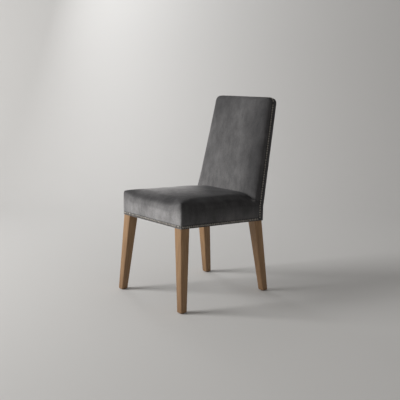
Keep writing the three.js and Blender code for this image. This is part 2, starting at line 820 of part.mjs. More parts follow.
function place(name, geometry, material, group = chair) {
  const mesh = new THREE.Mesh(geometry, material);
  mesh.name = name;
  group.add(mesh);
  return mesh;
}
const placeSolid = (name, body, material, group) => place(name, geometryOf(body), material, group);

function placeAlong(name, geometry, material, start, way) {
  const mesh = place(name, geometry, material);
  mesh.position.copy(start);
  mesh.quaternion.setFromUnitVectors(point(0, 0, 1), way.clone().normalize());
}

// Legs, posts, glides and the front legs' bolts
for (const [name, side] of sidesOfChair) {
  const legCuts = [frontTenons(gap), sideTenons(side, gap), boltHole(side), glideHole(side, 'front')];
  placeSolid(`front_leg_${name}`, cut(frontLeg(side, 0), legCuts), oak);
  const timber = rearPostTimber(side, 0).subtract(abovePosts(postTopSlope - gap));
  const lowTenon = lowRailTenons(gap);
  const post = timber.add(toChair(postTenonBox(side, 0)));
  const postCuts = [rearTenons(gap), sideTenons(side, gap), glideHole(side, 'rear'), lowTenon];
  placeSolid(`rear_post_${name}`, cut(post, postCuts), oak);
  for (const end of ['front', 'rear']) {
    const [x, y] = glidePlaces[end];
    place(`${end}_glide_${name}`, glideGeometry(0), blackNylon).position.set(side * x, y, 0);
  }
  const way = boltWay(side);
  const start = boltStart(side);
  const boltBack = washerThick + nutThick + boltSpare;
  const bolt = bar(boltRadius, boltBack + blockThick + boltDepth, boltSides).translate(0, 0, -boltBack);
  placeAlong(`leg_bolt_${name}`, bolt, zincSteel, start, way);
  const washer = solid(bar(washerRadius, washerThick, boltSides * 2).translate(0, 0, -washerThick - gap));
  const nut = solid(bar(nutRadius, nutThick, 6).translate(0, 0, -washerThick - nutThick - gap * 2));
  const bore = solid(bar(boltRadius + gap, boltBack * 2, boltSides).translate(0, 0, -boltBack));
  placeAlong(`leg_bolt_washer_${name}`, geometryOf(washer.subtract(bore)), zincSteel, start, way);
  placeAlong(`leg_bolt_nut_${name}`, geometryOf(nut.subtract(bore)), zincSteel, start, way);
}

// Rails, with their tenons
function endRail(front) {
  const inner = front ? legInner : postInner;
  const y0 = front ? frontCorner[1] : rearRailFront;
  const body = crossBar(inner[0] - gap, y0, y0 + railThick, railLow, railHigh);
  const whole = body.add(front ? frontTenons(0) : rearTenons(0));
  return cut(whole, screwHoles((s) => s.front === front && s.way.x === 0));
}

function sideRail(side) {
  const body = sideBar(side, legInner[1] + gap, postInner[1] - gap, frameInset, railThick, railLow, railHigh);
  return cut(body.add(sideTenons(side, 0)), screwHoles((s) => s.side === side && s.way.x !== 0));
}

// The back's lower rail, between the two posts just above the seat
function lowRailEnds(more) {
  const n0 = frameFront - lowRailThick;
  const corner = (side, n, w) => {
    const { z } = backPoint(0, n, w).applyMatrix4(backMatrix);
    return backPoint(side * (postInnerX(z) - more), n, w);
  };
  const high = lowRailFrom + lowRailHeight;
  return [1, -1].map((side) => [
    corner(side, n0, lowRailFrom), corner(side, frameFront, lowRailFrom),
    corner(side, frameFront, high), corner(side, n0, high),
  ]);
}

function lowRailTenons(grow) {
  const z = backPoint(0, frameFront, lowRailFrom).applyMatrix4(backMatrix).z;
  const half = postInnerX(z) + tenonLength + grow;
  const middle = frameFront - lowRailThick / 2;
  const low = backPoint(-half, middle + lowRailTenon / 2 + grow, lowRailFrom + tenonShoulder - grow);
  const high = lowRailFrom + lowRailHeight - tenonShoulder + grow;
  return toChair(box(low, backPoint(half, middle - lowRailTenon / 2 - grow, high)));
}

placeSolid('seat_rail_front', endRail(true), beech);
placeSolid('seat_rail_rear', endRail(false), beech);
const [lowEndA, lowEndB] = lowRailEnds(gap);
placeSolid('back_lower_rail', prism(lowEndA, lowEndB).add(toBack(lowRailTenons(0))), beech, backGroup);
const topRail = backSlab(frameInset, frameBack, frameFront, postTopSlope - frameInset, 0);
const topSockets = sidesOfChair.map(([, side]) => postTenonBox(side, gap));
placeSolid('back_top_rail', cut(topRail, topSockets), beech, backGroup);

for (const [name, side] of sidesOfChair) {
  placeSolid(`seat_rail_${name}`, sideRail(side), beech);
  for (const front of [true, false]) {
    const holes = screwHoles((s) => s.front === front && s.side === side);
    const tools = front ? [...holes, boltHole(side)] : holes;
    placeSolid(`corner_block_${front ? 'front' : 'rear'}_${name}`, cut(blockBody(side, front), tools), beech);
  }
}
screws.forEach((screw) => placeAlong(screw.label, screwGeometry(0), zincSteel, screw.start, screw.way));

// Seat suspension and padding
strapRows.forEach((row, k) => {
  place(`seat_webbing_lengthwise_${k + 1}`, lengthwiseStrap(row), jute);
  place(`seat_webbing_crosswise_${k + 1}`, crosswiseStrap(row), jute);
});
const hessianLevel = deckLevel + strapStep * 2;
const foamLevel = hessianLevel + hessianThick + gap;
place('dust_cover', seatSheet(frameInset + strapEndMargin, railLow - gap - dustClothThick, dustClothThick, true), blackCloth);

const postSpace = sidesOfChair.map(([, side]) => rearPostTimber(side, gap));
const legSpace = sidesOfChair.map(([, side]) => frontLeg(side, gap));
const seatHessian = seatSheet(frameInset + strapEndMargin, hessianLevel, hessianThick, false);
placeSolid('seat_hessian', cut(solid(seatHessian), postSpace), jute);
const widened = (body) => body.scale([(seatRearWidth + frameInset * 4) / seatRearWidth, 1, 1]);
const paddingSpace = widened(toChair(paddingForm(-gap, 0, -gap)));
const rearSpace = widened(outsideForm(-gap, seamFromRear, overrun));
const seatCuts = [paddingSpace, rearSpace];
const behindFoam = rearCorner[1] - postTop;
const foamTail = box(point(-beyond, behindFoam, 0), point(beyond, beyond, beyond));
placeSolid('seat_foam', cut(seatForm(frameInset, foamLevel, 0), [paddingSpace, foamTail, ...postSpace]), foamWhite);
const waddingOuter = velvet + gap;
const seatWadding = seatSkin(waddingOuter, waddingOuter + waddingThick, waddingHem, 0);
placeSolid('seat_wadding', cut(seatWadding, [...seatCuts, ...postSpace, ...legSpace]), waddingWhite);
placeSolid('seat_cover', cut(seatSkin(0, velvet, 0, nailDraw), [...seatCuts, ...postSpace]), velvetGrey);

// Back webbing, padding and covers, in the back's own frame
const backStrapLow = lowRailFrom + backStrapEndMargin;
const backStrapHigh = backHeight - frameInset - backStrapEndMargin;
strapRows.forEach((row, k) => {
  const wide = strapWidth / 2;
  const n = frameFront + gap;
  const x = row * backStrapPitch;
  const body = box(backPoint(x - wide, n + strapThick, backStrapLow), backPoint(x + wide, n, backStrapHigh));
  placeSolid(`back_webbing_${k + 1}`, body, jute, backGroup);
});
const backHessianRear = frameFront + gap * 2 + strapThick;
const backFoamRear = backHessianRear + hessianThick + gap;
const backHessian = backSlab(frameInset * 2, backHessianRear, backHessianRear + hessianThick, postShoulder - frameInset, 0);
placeSolid('back_hessian', backHessian, jute, backGroup);
const postsInBack = postSpace.map(toBack);
placeSolid('back_foam', cut(paddingForm(frameInset, backFoamRear, 0), postsInBack), foamWhite, backGroup);
const waddingRear = frameInset;
const backWadding = paddingForm(waddingOuter, waddingRear, 0)
  .subtract(paddingForm(waddingOuter + waddingThick, waddingRear - overrun, -overrun));
placeSolid('back_wadding', cut(backWadding, postsInBack), waddingWhite, backGroup);
const insideRear = seamFromRear + gap;
const insideCover = paddingForm(0, insideRear, 0)
  .subtract(paddingForm(velvet, insideRear - overrun, -overrun));
placeSolid('inside_back_cover', cut(insideCover, postsInBack), velvetGrey, backGroup);
const boardForm = backSlab(frameInset, velvet + gap, velvet + gap + boardThick, 0, 0);
placeSolid('outside_back_board', boardForm, board, backGroup);
const outsideHollow = outsideForm(velvet, seamFromRear + overrun, overrun);
placeSolid('outside_back_cover', outsideForm(0, seamFromRear, 0).subtract(outsideHollow), velvetGrey);

// Nail trim
place('nail_trim_front', frontNails(), pewter);
place('nail_trim_rear', rearNails(), pewter);
for (const [name, side] of sidesOfChair) {
  place(`nail_trim_${name}`, sideNails(side), pewter);
  place(`nail_trim_back_${name}`, backSideNails(side), pewter);
}
place('nail_trim_back_top', backTopNails(), pewter, backGroup);

// The origin goes under the middle of the whole chair
chair.updateMatrixWorld(true);
const bounds = new THREE.Box3().setFromObject(chair, true);
chair.position.y = -(bounds.min.y + bounds.max.y) / 2;

export default chair;
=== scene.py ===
# Upholstered dining chair: velvet covers, nail trim and oiled oak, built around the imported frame.
# Metres, in the frame's own axes: +Z up, the front faces -Y, +X is the right side seen from the front.

import math

import bmesh
import bpy
import numpy as np
from mathutils import Matrix, Vector, noise
from mathutils.bvhtree import BVHTree
from mathutils.kdtree import KDTree


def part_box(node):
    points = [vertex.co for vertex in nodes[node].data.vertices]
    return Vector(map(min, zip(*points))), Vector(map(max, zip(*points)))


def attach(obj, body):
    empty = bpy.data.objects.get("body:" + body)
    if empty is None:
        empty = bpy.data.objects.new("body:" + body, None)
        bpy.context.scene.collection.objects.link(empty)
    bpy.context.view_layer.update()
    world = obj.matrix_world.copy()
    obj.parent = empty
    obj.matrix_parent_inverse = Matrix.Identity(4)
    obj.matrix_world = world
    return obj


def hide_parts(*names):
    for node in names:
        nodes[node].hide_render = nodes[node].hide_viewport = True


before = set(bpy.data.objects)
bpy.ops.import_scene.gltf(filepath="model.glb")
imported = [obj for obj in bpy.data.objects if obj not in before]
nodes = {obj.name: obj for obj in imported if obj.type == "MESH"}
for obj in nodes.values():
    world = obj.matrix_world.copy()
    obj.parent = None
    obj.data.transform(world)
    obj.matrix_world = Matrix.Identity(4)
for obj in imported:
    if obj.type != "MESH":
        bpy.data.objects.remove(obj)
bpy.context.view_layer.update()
scene = bpy.context.scene

# Seat block over the velvet, in the frame's sizes
SEAT_DEPTH = 0.536
SEAT_FRONT_HALF = 0.237
SEAT_REAR_HALF = 0.231
EDGE_FRONT = 0.394
EDGE_REAR = 0.370
SEAT_THICK_FRONT = 0.121
SEAT_THICK_REAR = 0.129
SEAT_CORNER = 0.009
SEAT_CROWN = 0.009
SEAT_ROUND_IN = 0.044
SEAT_ROUND_DOWN = 0.033
# The two front corners stay crisp: their own rounding, drop and reach
SEAT_EAR_IN = 0.006
SEAT_EAR_DOWN = 0.005
SEAT_EAR_DROP = 0.004
SEAT_EAR_REACH = 0.06

# Back over the velvet, along its slope from the knee
KNEE = 0.4435
LEAN = math.radians(11.23)
BACK_HEIGHT = 0.540
BACK_LOW_HALF = 0.231
BACK_TOP_HALF = 0.2045
BACK_THICK_KNEE = 0.065
BACK_THICK_TOP = 0.052
BACK_CORNER = 0.028
BACK_EDGE = 0.011
BACK_REAR_EDGE = 0.006
BACK_CROWN = 0.004
SEAM = 0.032
SKIRT_SIDE = 0.014
SKIRT_FRONT = 0.025

# Cloth and nails
VELVET = 0.0014
LAYER_GAP = 0.0004
FLEECE = 0.003
NAIL_PITCH = 0.012
NAIL_RADIUS = 0.0049
NAIL_DOME = 0.0025
# Height of the lower rows over the velvet's edge, and the upright rows' distance from the rear face
NAIL_LINE = 0.0085
NAIL_FROM_REAR = 0.027
NAIL_DIMPLE = 0.0014
NAIL_DRAW = 0.0015

SEAT_FRONT_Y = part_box("seat_cover")[0].y
MIDDLE_Y = SEAT_FRONT_Y + SEAT_DEPTH / 2
REAR_Y = SEAT_FRONT_Y + SEAT_DEPTH
SEAM_Y = REAR_Y - SEAM

QUARTER = math.pi / 2
TINY = 1e-6


def mix(a, b, t):
    return a + (b - a) * t


def within(low, high, value):
    """How far a value has come from low to high, as 0 to 1."""
    return min(max((value - low) / (high - low), 0), 1)


def eased(low, high, value):
    share = within(low, high, value)
    return share * share * (3 - 2 * share)


def along_seat(y):
    return (y - SEAT_FRONT_Y) / SEAT_DEPTH


def edge_height(y):
    return mix(EDGE_FRONT, EDGE_REAR, along_seat(y))


def seat_thick(y):
    return mix(SEAT_THICK_FRONT, SEAT_THICK_REAR, along_seat(y))


def seat_half(y):
    return mix(SEAT_FRONT_HALF, SEAT_REAR_HALF, along_seat(y))


def back_half(w):
    return mix(BACK_LOW_HALF, BACK_TOP_HALF, w / BACK_HEIGHT)


def back_thick(w):
    return mix(BACK_THICK_KNEE, BACK_THICK_TOP, w / BACK_HEIGHT)


BACK_MATRIX = Matrix.Translation((0, REAR_Y, KNEE)) @ Matrix.Rotation(-LEAN, 4, "X")


def back_place(x, n, w):
    """A point of the back's own frame: x across, n forward from its rear face, w up its slope."""
    return BACK_MATRIX @ Vector((x, -n, w))


# Meshes and pieces

CORNER_STEPS = 6
SIDE_STEPS = 14
ROUND_STEPS = 8
INNER_CORNER_SHARE = 0.15
CROWN_SHARES = (0.12, 0.3, 0.55, 0.8)


def banded(count, rings, start=0):
    """Faces between closed rings of equal count, from a first point on."""
    faces = []
    for low in range(start, start + (rings - 1) * count, count):
        for i in range(count):
            j = (i + 1) % count
            faces.append((low + i, low + j, low + count + j, low + count + i))
    return faces


def fanned(count, start, middle):
    return [(middle, start + i, start + (i + 1) % count) for i in range(count)]


def stacked(rings):
    """A closed mesh through rings of equal count, with a fan at each end."""
    count = len(rings[0])
    points = [p for ring in rings for p in ring]
    faces = banded(count, len(rings))
    for ring, start in ((rings[0], 0), (rings[-1], (len(rings) - 1) * count)):
        points.append(sum(ring, Vector()) / count)
        faces += fanned(count, start, len(points) - 1)
    return points, faces


def rounded_outline(half_at, low, high, low_radius, high_radius, inset):
    """Points round a tapered rectangle with round corners, set in from its edge."""
    low_end = (low, -1, low_radius)
    high_end = (high, 1, high_radius)
    corners = ((1, *low_end), (1, *high_end), (-1, *high_end), (-1, *low_end))
    arcs = []
    for k, (side, end, way, full) in enumerate(corners):
        radius = max(full - inset, full * INNER_CORNER_SHARE)
        v = end - way * (inset + radius)
        u = side * (half_at(v) - inset - radius)
        arc = []
        for i in range(CORNER_STEPS + 1):
            angle = (k - 1 + i / CORNER_STEPS) * QUARTER
            arc.append((u + radius * math.cos(angle), v + radius * math.sin(angle)))
        arcs.append(arc)
    points = []
    for arc, following in zip(arcs, arcs[1:] + arcs[:1]):
        points += arc
        (u0, v0), (u1, v1) = arc[-1], following[0]
        shares = [i / SIDE_STEPS for i in range(1, SIDE_STEPS)]
        points += [(mix(u0, u1, share), mix(v0, v1, share)) for share in shares]
    return points


def new_piece(name, points, faces):
    mesh = bpy.data.meshes.new(name)
    mesh.from_pydata([tuple(p) for p in points], [], faces)
    piece = bpy.data.objects.new(name, mesh)
    scene.collection.objects.link(piece)
    reshape(piece, lambda bm: bmesh.ops.recalc_face_normals(bm, faces=bm.faces))
    return piece


def reshape(piece, work):
    """Runs a function on the piece's mesh as a bmesh and writes the result back."""
    bm = bmesh.new()
    bm.from_mesh(piece.data)
    work(bm)
    bm.to_mesh(piece.data)
    bm.free()
    piece.data.update()


def apply_modifiers(piece):
    depsgraph = bpy.context.evaluated_depsgraph_get()
    made = bpy.data.meshes.new_from_object(piece.evaluated_get(depsgraph))
    old = piece.data
    piece.modifiers.clear()
    piece.data = made
    bpy.data.meshes.remove(old)


def smooth_shading(piece):
    piece.data.shade_smooth()


def coordinates(mesh):
    flat = np.zeros(len(mesh.vertices) * 3)
    mesh.vertices.foreach_get("co", flat)
    return flat.reshape(-1, 3)


def face_corners(mesh):
    return [tuple(face.vertices) for face in mesh.polygons]


def set_coordinates(mesh, places):
    mesh.vertices.foreach_set("co", places.ravel())
    mesh.update()


def modified(piece, kind, **values):
    """Applies a modifier with these values."""
    modifier = piece.modifiers.new(kind, kind)
    for key, value in values.items():
        setattr(modifier, key, value)
    apply_modifiers(piece)


def remeshed(piece, voxel):
    modified(piece, "REMESH", mode="VOXEL", voxel_size=voxel)


def subdivided(piece, levels=1, kind="CATMULL_CLARK"):
    modified(piece, "SUBSURF", subdivision_type=kind, levels=levels)


def thickened(piece, thickness):
    modified(piece, "SOLIDIFY", thickness=thickness, offset=-1)


def relaxed(piece, rounds):
    """Smooths the mesh a little, so that no voxel step shows."""
    modified(piece, "SMOOTH", factor=0.5, iterations=rounds)


SIM_FRAMES = 20
SIM_QUALITY = 4
SIM_PRESSURE = 4.0
SHORTEST_MOVE = 1e-9


def swollen(piece, cap_at):
    """Blows the closed cloth up, with each point kept within its cap."""
    rest = coordinates(piece.data)
    cloth = piece.modifiers.new("Cloth", "CLOTH")
    cloth.settings.quality = SIM_QUALITY
    cloth.settings.use_pressure = True
    cloth.settings.uniform_pressure_force = SIM_PRESSURE
    cloth.settings.effector_weights.gravity = 0
    cloth.point_cache.frame_start = 1
    cloth.point_cache.frame_end = SIM_FRAMES
    for frame_number in range(1, SIM_FRAMES + 1):
        scene.frame_set(frame_number)
    apply_modifiers(piece)
    scene.frame_set(1)
    move = coordinates(piece.data) - rest
    length = np.maximum(np.linalg.norm(move, axis=1), SHORTEST_MOVE)
    cap = np.array([cap_at(Vector(p)) for p in rest])
    kept = cap * np.tanh(length / cap) / length
    set_coordinates(piece.data, rest + move * kept[:, None])


def each_point(piece, place):
    """Moves each point to the place that a function gives for it and its normal."""
    mesh = piece.data
    moved = [place(v.co.copy(), v.normal.copy()) for v in mesh.vertices]
    set_coordinates(mesh, np.array([tuple(p) for p in moved]))


def sliced(bm, point, normal):
    """Lays new edges through the mesh where a plane crosses it, and removes nothing."""
    whole = bm.verts[:] + bm.edges[:] + bm.faces[:]
    bmesh.ops.bisect_plane(bm, geom=whole, dist=TINY, plane_co=point, plane_no=normal)


def without(bm, gone):
    """Removes the faces whose middle the function picks."""
    faces = [f for f in bm.faces if gone(f.calc_center_median())]
    bmesh.ops.delete(bm, geom=faces, context="FACES")


def dressed(piece, material, slot_name, *replaced):
    """Gives a piece its finish and its body, and hides the nodes that it replaces."""
    piece.data.materials.clear()
    piece.data.materials.append(material)
    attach(piece, "root")
    if replaced:
        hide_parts(*replaced)
    return piece


# Velvet seat

VOXEL = 0.005
# How far the closed forms go on past the edge where the cloth is cut off
BELOW = 0.012
# The block starts this much smaller than the finished seat
SEAT_SHRINK = -0.0002


def softness(x, y):
    """From 0 at the seat's two front corners, which stay crisp, to 1 along its rounded edges."""
    corner = Vector((abs(x) - seat_half(SEAT_FRONT_Y), y - SEAT_FRONT_Y))
    return 1 - math.exp(-((corner.length / SEAT_EAR_REACH) ** 2))


def seat_outline(inset):
    return rounded_outline(seat_half, SEAT_FRONT_Y, REAR_Y, SEAT_CORNER, SEAT_CORNER, inset)


def seat_block():
    """The seat over the velvet, closed below its lower edge."""

    def level(more, height):
        return [Vector((x, y, edge_height(y) + height)) for x, y in seat_outline(SEAT_SHRINK + more)]

    rings = [level(NAIL_DRAW, -BELOW), level(NAIL_DRAW, NAIL_LINE * 2), level(0, NAIL_LINE * 4)]
    outer = seat_outline(SEAT_SHRINK)
    rim = seat_outline(SEAT_SHRINK + SEAT_ROUND_IN)
    soft = [softness(x, y) for x, y in outer]
    for i in range(ROUND_STEPS + 1):
        angle = i / ROUND_STEPS * QUARTER
        ring = []
        for (x0, y0), (x1, y1), k in zip(outer, rim, soft):
            share = (1 - math.cos(angle)) * mix(SEAT_EAR_IN / SEAT_ROUND_IN, 1, k)
            x, y = mix(x0, x1, share), mix(y0, y1, share)
            rise = mix(SEAT_EAR_DOWN, SEAT_ROUND_DOWN, k) * (math.sin(angle) - 1) - SEAT_EAR_DROP * (1 - k)
            ring.append(Vector((x, y, edge_height(y) + seat_thick(y) + rise - SEAT_SHRINK)))
        rings.append(ring)
    last = rings[-1]
    for share in CROWN_SHARES:
        rise = SEAT_CROWN * share * (2 - share)
        ring = []
        for p, k in zip(last, soft):
            x, y = p.x * (1 - share), mix(p.y, MIDDLE_Y, share)
            low = SEAT_EAR_DROP * (1 - k) * (1 - share) ** 2
            ring.append(Vector((x, y, edge_height(y) + seat_thick(y) + rise - low - SEAT_SHRINK)))
        rings.append(ring)
    return new_piece("velvet_seat", *stacked(rings))


REAR_DIP = 0.020
REAR_DIP_FROM = 0.10
REAR_DIP_START = 0.02
REAR_DIP_POWER = 1.5
REAR_DIP_LOW_SHARE = 0.3


def rear_dip(p, _):
    """The seat is pulled down beside the back, at both rear corners."""
    height = (p.z - edge_height(p.y)) / seat_thick(p.y)
    outward = eased(REAR_DIP_FROM, seat_half(p.y), abs(p.x))
    rearward = eased(REAR_DIP_START, SEAM_Y, p.y)
    upward = eased(REAR_DIP_LOW_SHARE, 1.0, height)
    return p - Vector((0, 0, REAR_DIP * outward ** REAR_DIP_POWER * rearward * upward))


# How far in from the seat's side the cloth keeps off the post, and where that starts and ends
POST_COVER = 0.003
POST_LIMIT = 0.024
POST_REACH = 0.060
POST_FADE = 0.022
POST_ABOVE = 0.012


def over_post(p, _):
    """The seat's cloth stays outside the rear post where it turns in under the back."""
    n, w = in_back(p)[1:]
    out = seat_half(p.y) - POST_COVER
    low = padding_low(n)
    near = (1 - eased(POST_REACH, POST_REACH + POST_FADE, n)) * (1 - eased(low, low + POST_ABOVE, w))
    if not out - POST_LIMIT < abs(p.x) < out:
        return p
    return Vector((math.copysign(mix(abs(p.x), out, near), p.x), p.y, p.z))


# How far the simulated cloth may move: at the nails, on the sides and on top
NAIL_CAP = 0.0006
SIDE_CAP = 0.002
TOP_CAP = 0.007
SEAT_CAP_POWER = 4
CAP_SLOPE = 4


def seat_cap(p):
    """How far the seat's cloth may move: least at the nails, most on top."""
    share = within(NAIL_LINE * 2, seat_thick(p.y), p.z - edge_height(p.y))
    return NAIL_CAP + mix(SIDE_CAP, TOP_CAP, share ** SEAT_CAP_POWER) * min(share * CAP_SLOPE, 1)


def in_back(p):
    """A chair point in the back's own frame, as x, n and w."""
    local = BACK_MATRIX.inverted() @ p
    return local.x, -local.y, local.z


def padding_low(n):
    """The lower edge of the back's padding, which rises from the seam to the front."""
    return mix(SKIRT_SIDE, SKIRT_FRONT, within(SEAM, BACK_THICK_KNEE, n))


CREVICE = 0.010
CREVICE_DEPTH = 0.006
CREVICE_SLOPE = 0.3


def into_crevice(p, normal):
    """The seat's top turns down where it meets the back."""
    n, w = in_back(p)[1:]
    ahead = n - back_thick(w)
    if w < SKIRT_FRONT or normal.z < CREVICE_SLOPE:
        return p
    drop = CREVICE_DEPTH * math.exp(-max(ahead, 0) / CREVICE)
    return p - Vector((0, 0, drop))


HEM_REACH = 0.004
HEM_ROLL = 0.0045
# Each step of the roll: its share of the way in, and how far it goes down
HEM_STEPS = ((0.35, 0.0008), (1.0, -0.0006))


def is_low(p):
    return p.z - edge_height(p.y) < HEM_REACH


def to_middle(p):
    """The level direction from a point of the seat's rim to its inside."""
    x = -math.copysign(1, p.x) if abs(p.x) > seat_half(p.y) - SEAT_CORNER else 0
    y = 1 if p.y < SEAT_FRONT_Y + SEAT_CORNER else 0
    return Vector((x, y, 0)).normalized() if x or y else Vector((0, 0, 0))


def hem_turned(bm):
    """Rolls the cover's lower edge under."""
    rim = [e for e in bm.edges if e.is_boundary and all(is_low(v.co) for v in e.verts)]
    for inward, drop in HEM_STEPS:
        made = bmesh.ops.extrude_edge_only(bm, edges=rim)["geom"]
        verts = [g for g in made if isinstance(g, bmesh.types.BMVert)]
        rim = [g for g in made if isinstance(g, bmesh.types.BMEdge)]
        for v in verts:
            v.co += to_middle(v.co) * HEM_ROLL * inward - Vector((0, 0, drop))


TUCK = 0.008


def tucked(bm, chosen):
    """Turns the cloth's cut edge straight in, so that a seam shows no gap."""
    bm.normal_update()
    rim = [e for e in bm.edges if e.is_boundary and all(chosen(v.co) for v in e.verts)]
    inward = {}
    for e in rim:
        for v in e.verts:
            inward[tuple(v.co)] = -v.normal.copy()
    made = bmesh.ops.extrude_edge_only(bm, edges=rim)["geom"]
    for v in made:
        if isinstance(v, bmesh.types.BMVert):
            v.co += inward[tuple(v.co)] * TUCK


def cut_below(bm, y):
    """Cuts a cover off along the plane of its lower edge."""
    slope = (EDGE_REAR - EDGE_FRONT) / SEAT_DEPTH
    sliced(bm, Vector((0, y, edge_height(y))), Vector((0, -slope, 1)))
    without(bm, lambda c: c.z < edge_height(c.y))


def sliced_across(bm, low, high):
    """New edges along the plane through two points and straight across the chair."""
    sliced(bm, low, (high - low).cross(Vector((1, 0, 0))).normalized())


def sliced_at_upper_seam(bm):
    seam = back_place(0, SEAM, 0)
    sliced(bm, seam, back_place(0, SEAM + 1, 0) - seam)


def sliced_at_lower_seam(bm):
    sliced(bm, Vector((0, SEAM_Y, 0)), Vector((0, 1, 0)))


SEAT_UNDER = 0.002


def seat_trimmed(bm):
    """Cuts the seat's cloth off at its lower edge, at the seam and just inside the back's padding."""
    cut_below(bm, MIDDLE_Y)
    face_low = back_place(0, BACK_THICK_KNEE - SEAT_UNDER, 0)
    face_high = back_place(0, BACK_THICK_TOP - SEAT_UNDER, BACK_HEIGHT)
    sliced_across(bm, face_low, face_high)
    under_low = back_place(0, SEAM, SKIRT_SIDE + SEAT_UNDER)
    under_high = back_place(0, BACK_THICK_KNEE, SKIRT_FRONT + SEAT_UNDER)
    sliced_across(bm, under_low, under_high)
    sliced_at_lower_seam(bm)
    sliced_at_upper_seam(bm)

    def gone(c):
        n, w = in_back(c)[1:]
        behind = n < back_thick(w) - SEAT_UNDER and w > padding_low(n) + SEAT_UNDER
        return behind or (n < SEAM if c.z > KNEE else c.y > SEAM_Y)

    without(bm, gone)


WADDING_SHORT = 3


def rim_peeled(bm):
    """Takes the outermost rows of faces off: wadding stops short of the cloth's edge."""
    for _ in range(WADDING_SHORT):
        rim = {face for v in bm.verts if v.is_boundary for face in v.link_faces}
        bmesh.ops.delete(bm, geom=list(rim), context="FACES")


def wadding_under(piece, name, wadding, *replaced):
    """The wadding that lies right under a cover, with the cover's own form."""
    layer = new_piece(name, coordinates(piece.data), face_corners(piece.data))
    each_point(layer, lambda p, normal: p - normal * (VELVET + LAYER_GAP))
    reshape(layer, rim_peeled)
    smooth_shading(layer)
    return dressed(layer, wadding, "wadding", *replaced)


def upholstered(piece, hand):
    """Gives a cover its unevenness, its dimples and its thickness."""
    each_point(piece, hand)
    each_point(piece, dimpled)
    thickened(piece, VELVET)
    smooth_shading(piece)


def make_seat(velvet, wadding):
    piece = seat_block()
    remeshed(piece, VOXEL)
    swollen(piece, seat_cap)
    relaxed(piece, 2)
    each_point(piece, rear_dip)
    each_point(piece, over_post)
    each_point(piece, into_crevice)
    reshape(piece, seat_trimmed)
    layer = wadding_under(piece, "fleece_seat", wadding, "seat_wadding")
    subdivided(piece)
    reshape(piece, hem_turned)
    reshape(piece, lambda bm: tucked(bm, lambda p: not is_low(p)))
    upholstered(piece, seat_hand)
    return dressed(piece, velvet, "velvet", "seat_cover"), layer


HAND_SIZE = 0.09
HAND_DEPTH = 0.0009


def uneven(p, normal, share):
    """The shallow unevenness that padding leaves under tight cloth."""
    return p + normal * noise.noise(p / HAND_SIZE) * HAND_DEPTH * share


def seat_hand(p, normal):
    return uneven(p, normal, within(NAIL_LINE, NAIL_LINE * 2, p.z - edge_height(p.y)))


# Velvet back

BACK_SHRINK = -0.0008
PADDING_REAR = SEAM / 3
PADDING_CORNER = 0.003
PADDING_OVERLAP = 0.002


def back_outline(low, low_radius, inset):
    return rounded_outline(back_half, low, BACK_HEIGHT, low_radius, BACK_CORNER, inset)


def padding_block():
    """The back's padding over the velvet, closed, from behind the seam to its front face."""

    def ring(more, depth_at, skirt):
        outline = back_outline(skirt - PADDING_OVERLAP, PADDING_CORNER, BACK_SHRINK + more)
        return [back_place(x, depth_at(w), w) for x, w in outline]

    rings = [ring(0, lambda w: PADDING_REAR, SKIRT_SIDE), ring(0, lambda w: SEAM, SKIRT_SIDE)]
    for i in range(ROUND_STEPS + 1):
        angle = i / ROUND_STEPS * QUARTER
        inset = BACK_EDGE * (1 - math.cos(angle))
        rise = BACK_EDGE * (math.sin(angle) - 1) - BACK_SHRINK
        rings.append(ring(inset, lambda w: back_thick(w) + rise, SKIRT_FRONT))
    rim = back_outline(SKIRT_FRONT, PADDING_CORNER, BACK_EDGE + BACK_SHRINK)
    middle = (SKIRT_FRONT + BACK_HEIGHT) / 2
    for share in CROWN_SHARES:
        rise = BACK_CROWN * share * (2 - share) - BACK_SHRINK
        places = [(x * (1 - share), mix(w, middle, share)) for x, w in rim]
        rings.append([back_place(x, back_thick(w) + rise, w) for x, w in places])
    return new_piece("velvet_inside_back", *stacked(rings))


# How far the back's simulated cloth may move, and how high over the seat it reaches that
BACK_SIDE_CAP = 0.0015
BACK_CAP = 0.005
BACK_CAP_POWER = 3
BACK_CAP_RISE = BACK_HEIGHT / 8


def back_cap(p):
    """How far the back's cloth may move: least near the seam and the seat, most on its face."""
    n, w = in_back(p)[1:]
    share = within(SEAM, back_thick(w), n)
    cap = mix(BACK_SIDE_CAP, BACK_CAP, share ** BACK_CAP_POWER) * min(share * CAP_SLOPE, 1)
    return NAIL_CAP + cap * within(SKIRT_FRONT, SKIRT_FRONT + BACK_CAP_RISE, w)


def in_front_of_seam(bm):
    sliced_at_upper_seam(bm)
    without(bm, lambda c: in_back(c)[1] < SEAM)


def back_hand(p, normal):
    return uneven(p, normal, within(SEAM, SEAM * 2, in_back(p)[1]))


def make_inside_back(velvet, wadding):
    piece = padding_block()
    remeshed(piece, VOXEL)
    swollen(piece, back_cap)
    relaxed(piece, 3)
    reshape(piece, in_front_of_seam)
    layer = wadding_under(piece, "fleece_back", wadding, "back_wadding")
    subdivided(piece)
    reshape(piece, lambda bm: tucked(bm, lambda p: True))
    upholstered(piece, back_hand)
    return dressed(piece, velvet, "velvet", "inside_back_cover"), layer


OUTSIDE_VOXEL = 0.004
TAUT_SHARE = 0.5


def outside_slab():
    """The reclined part of the outside back, closed in front of the seam."""

    def ring(n, inset):
        outline = back_outline(-BACK_REAR_EDGE, BACK_REAR_EDGE, inset)
        return [back_place(x, n, w) for x, w in outline]

    rings = []
    for i in range(ROUND_STEPS + 1):
        angle = i / ROUND_STEPS * QUARTER
        inset = BACK_SHRINK + BACK_REAR_EDGE * (1 - math.sin(angle))
        rings.append(ring(BACK_REAR_EDGE * (1 - math.cos(angle)), inset))
    rings.append(ring(SEAM + BELOW, BACK_SHRINK))
    return stacked(rings)


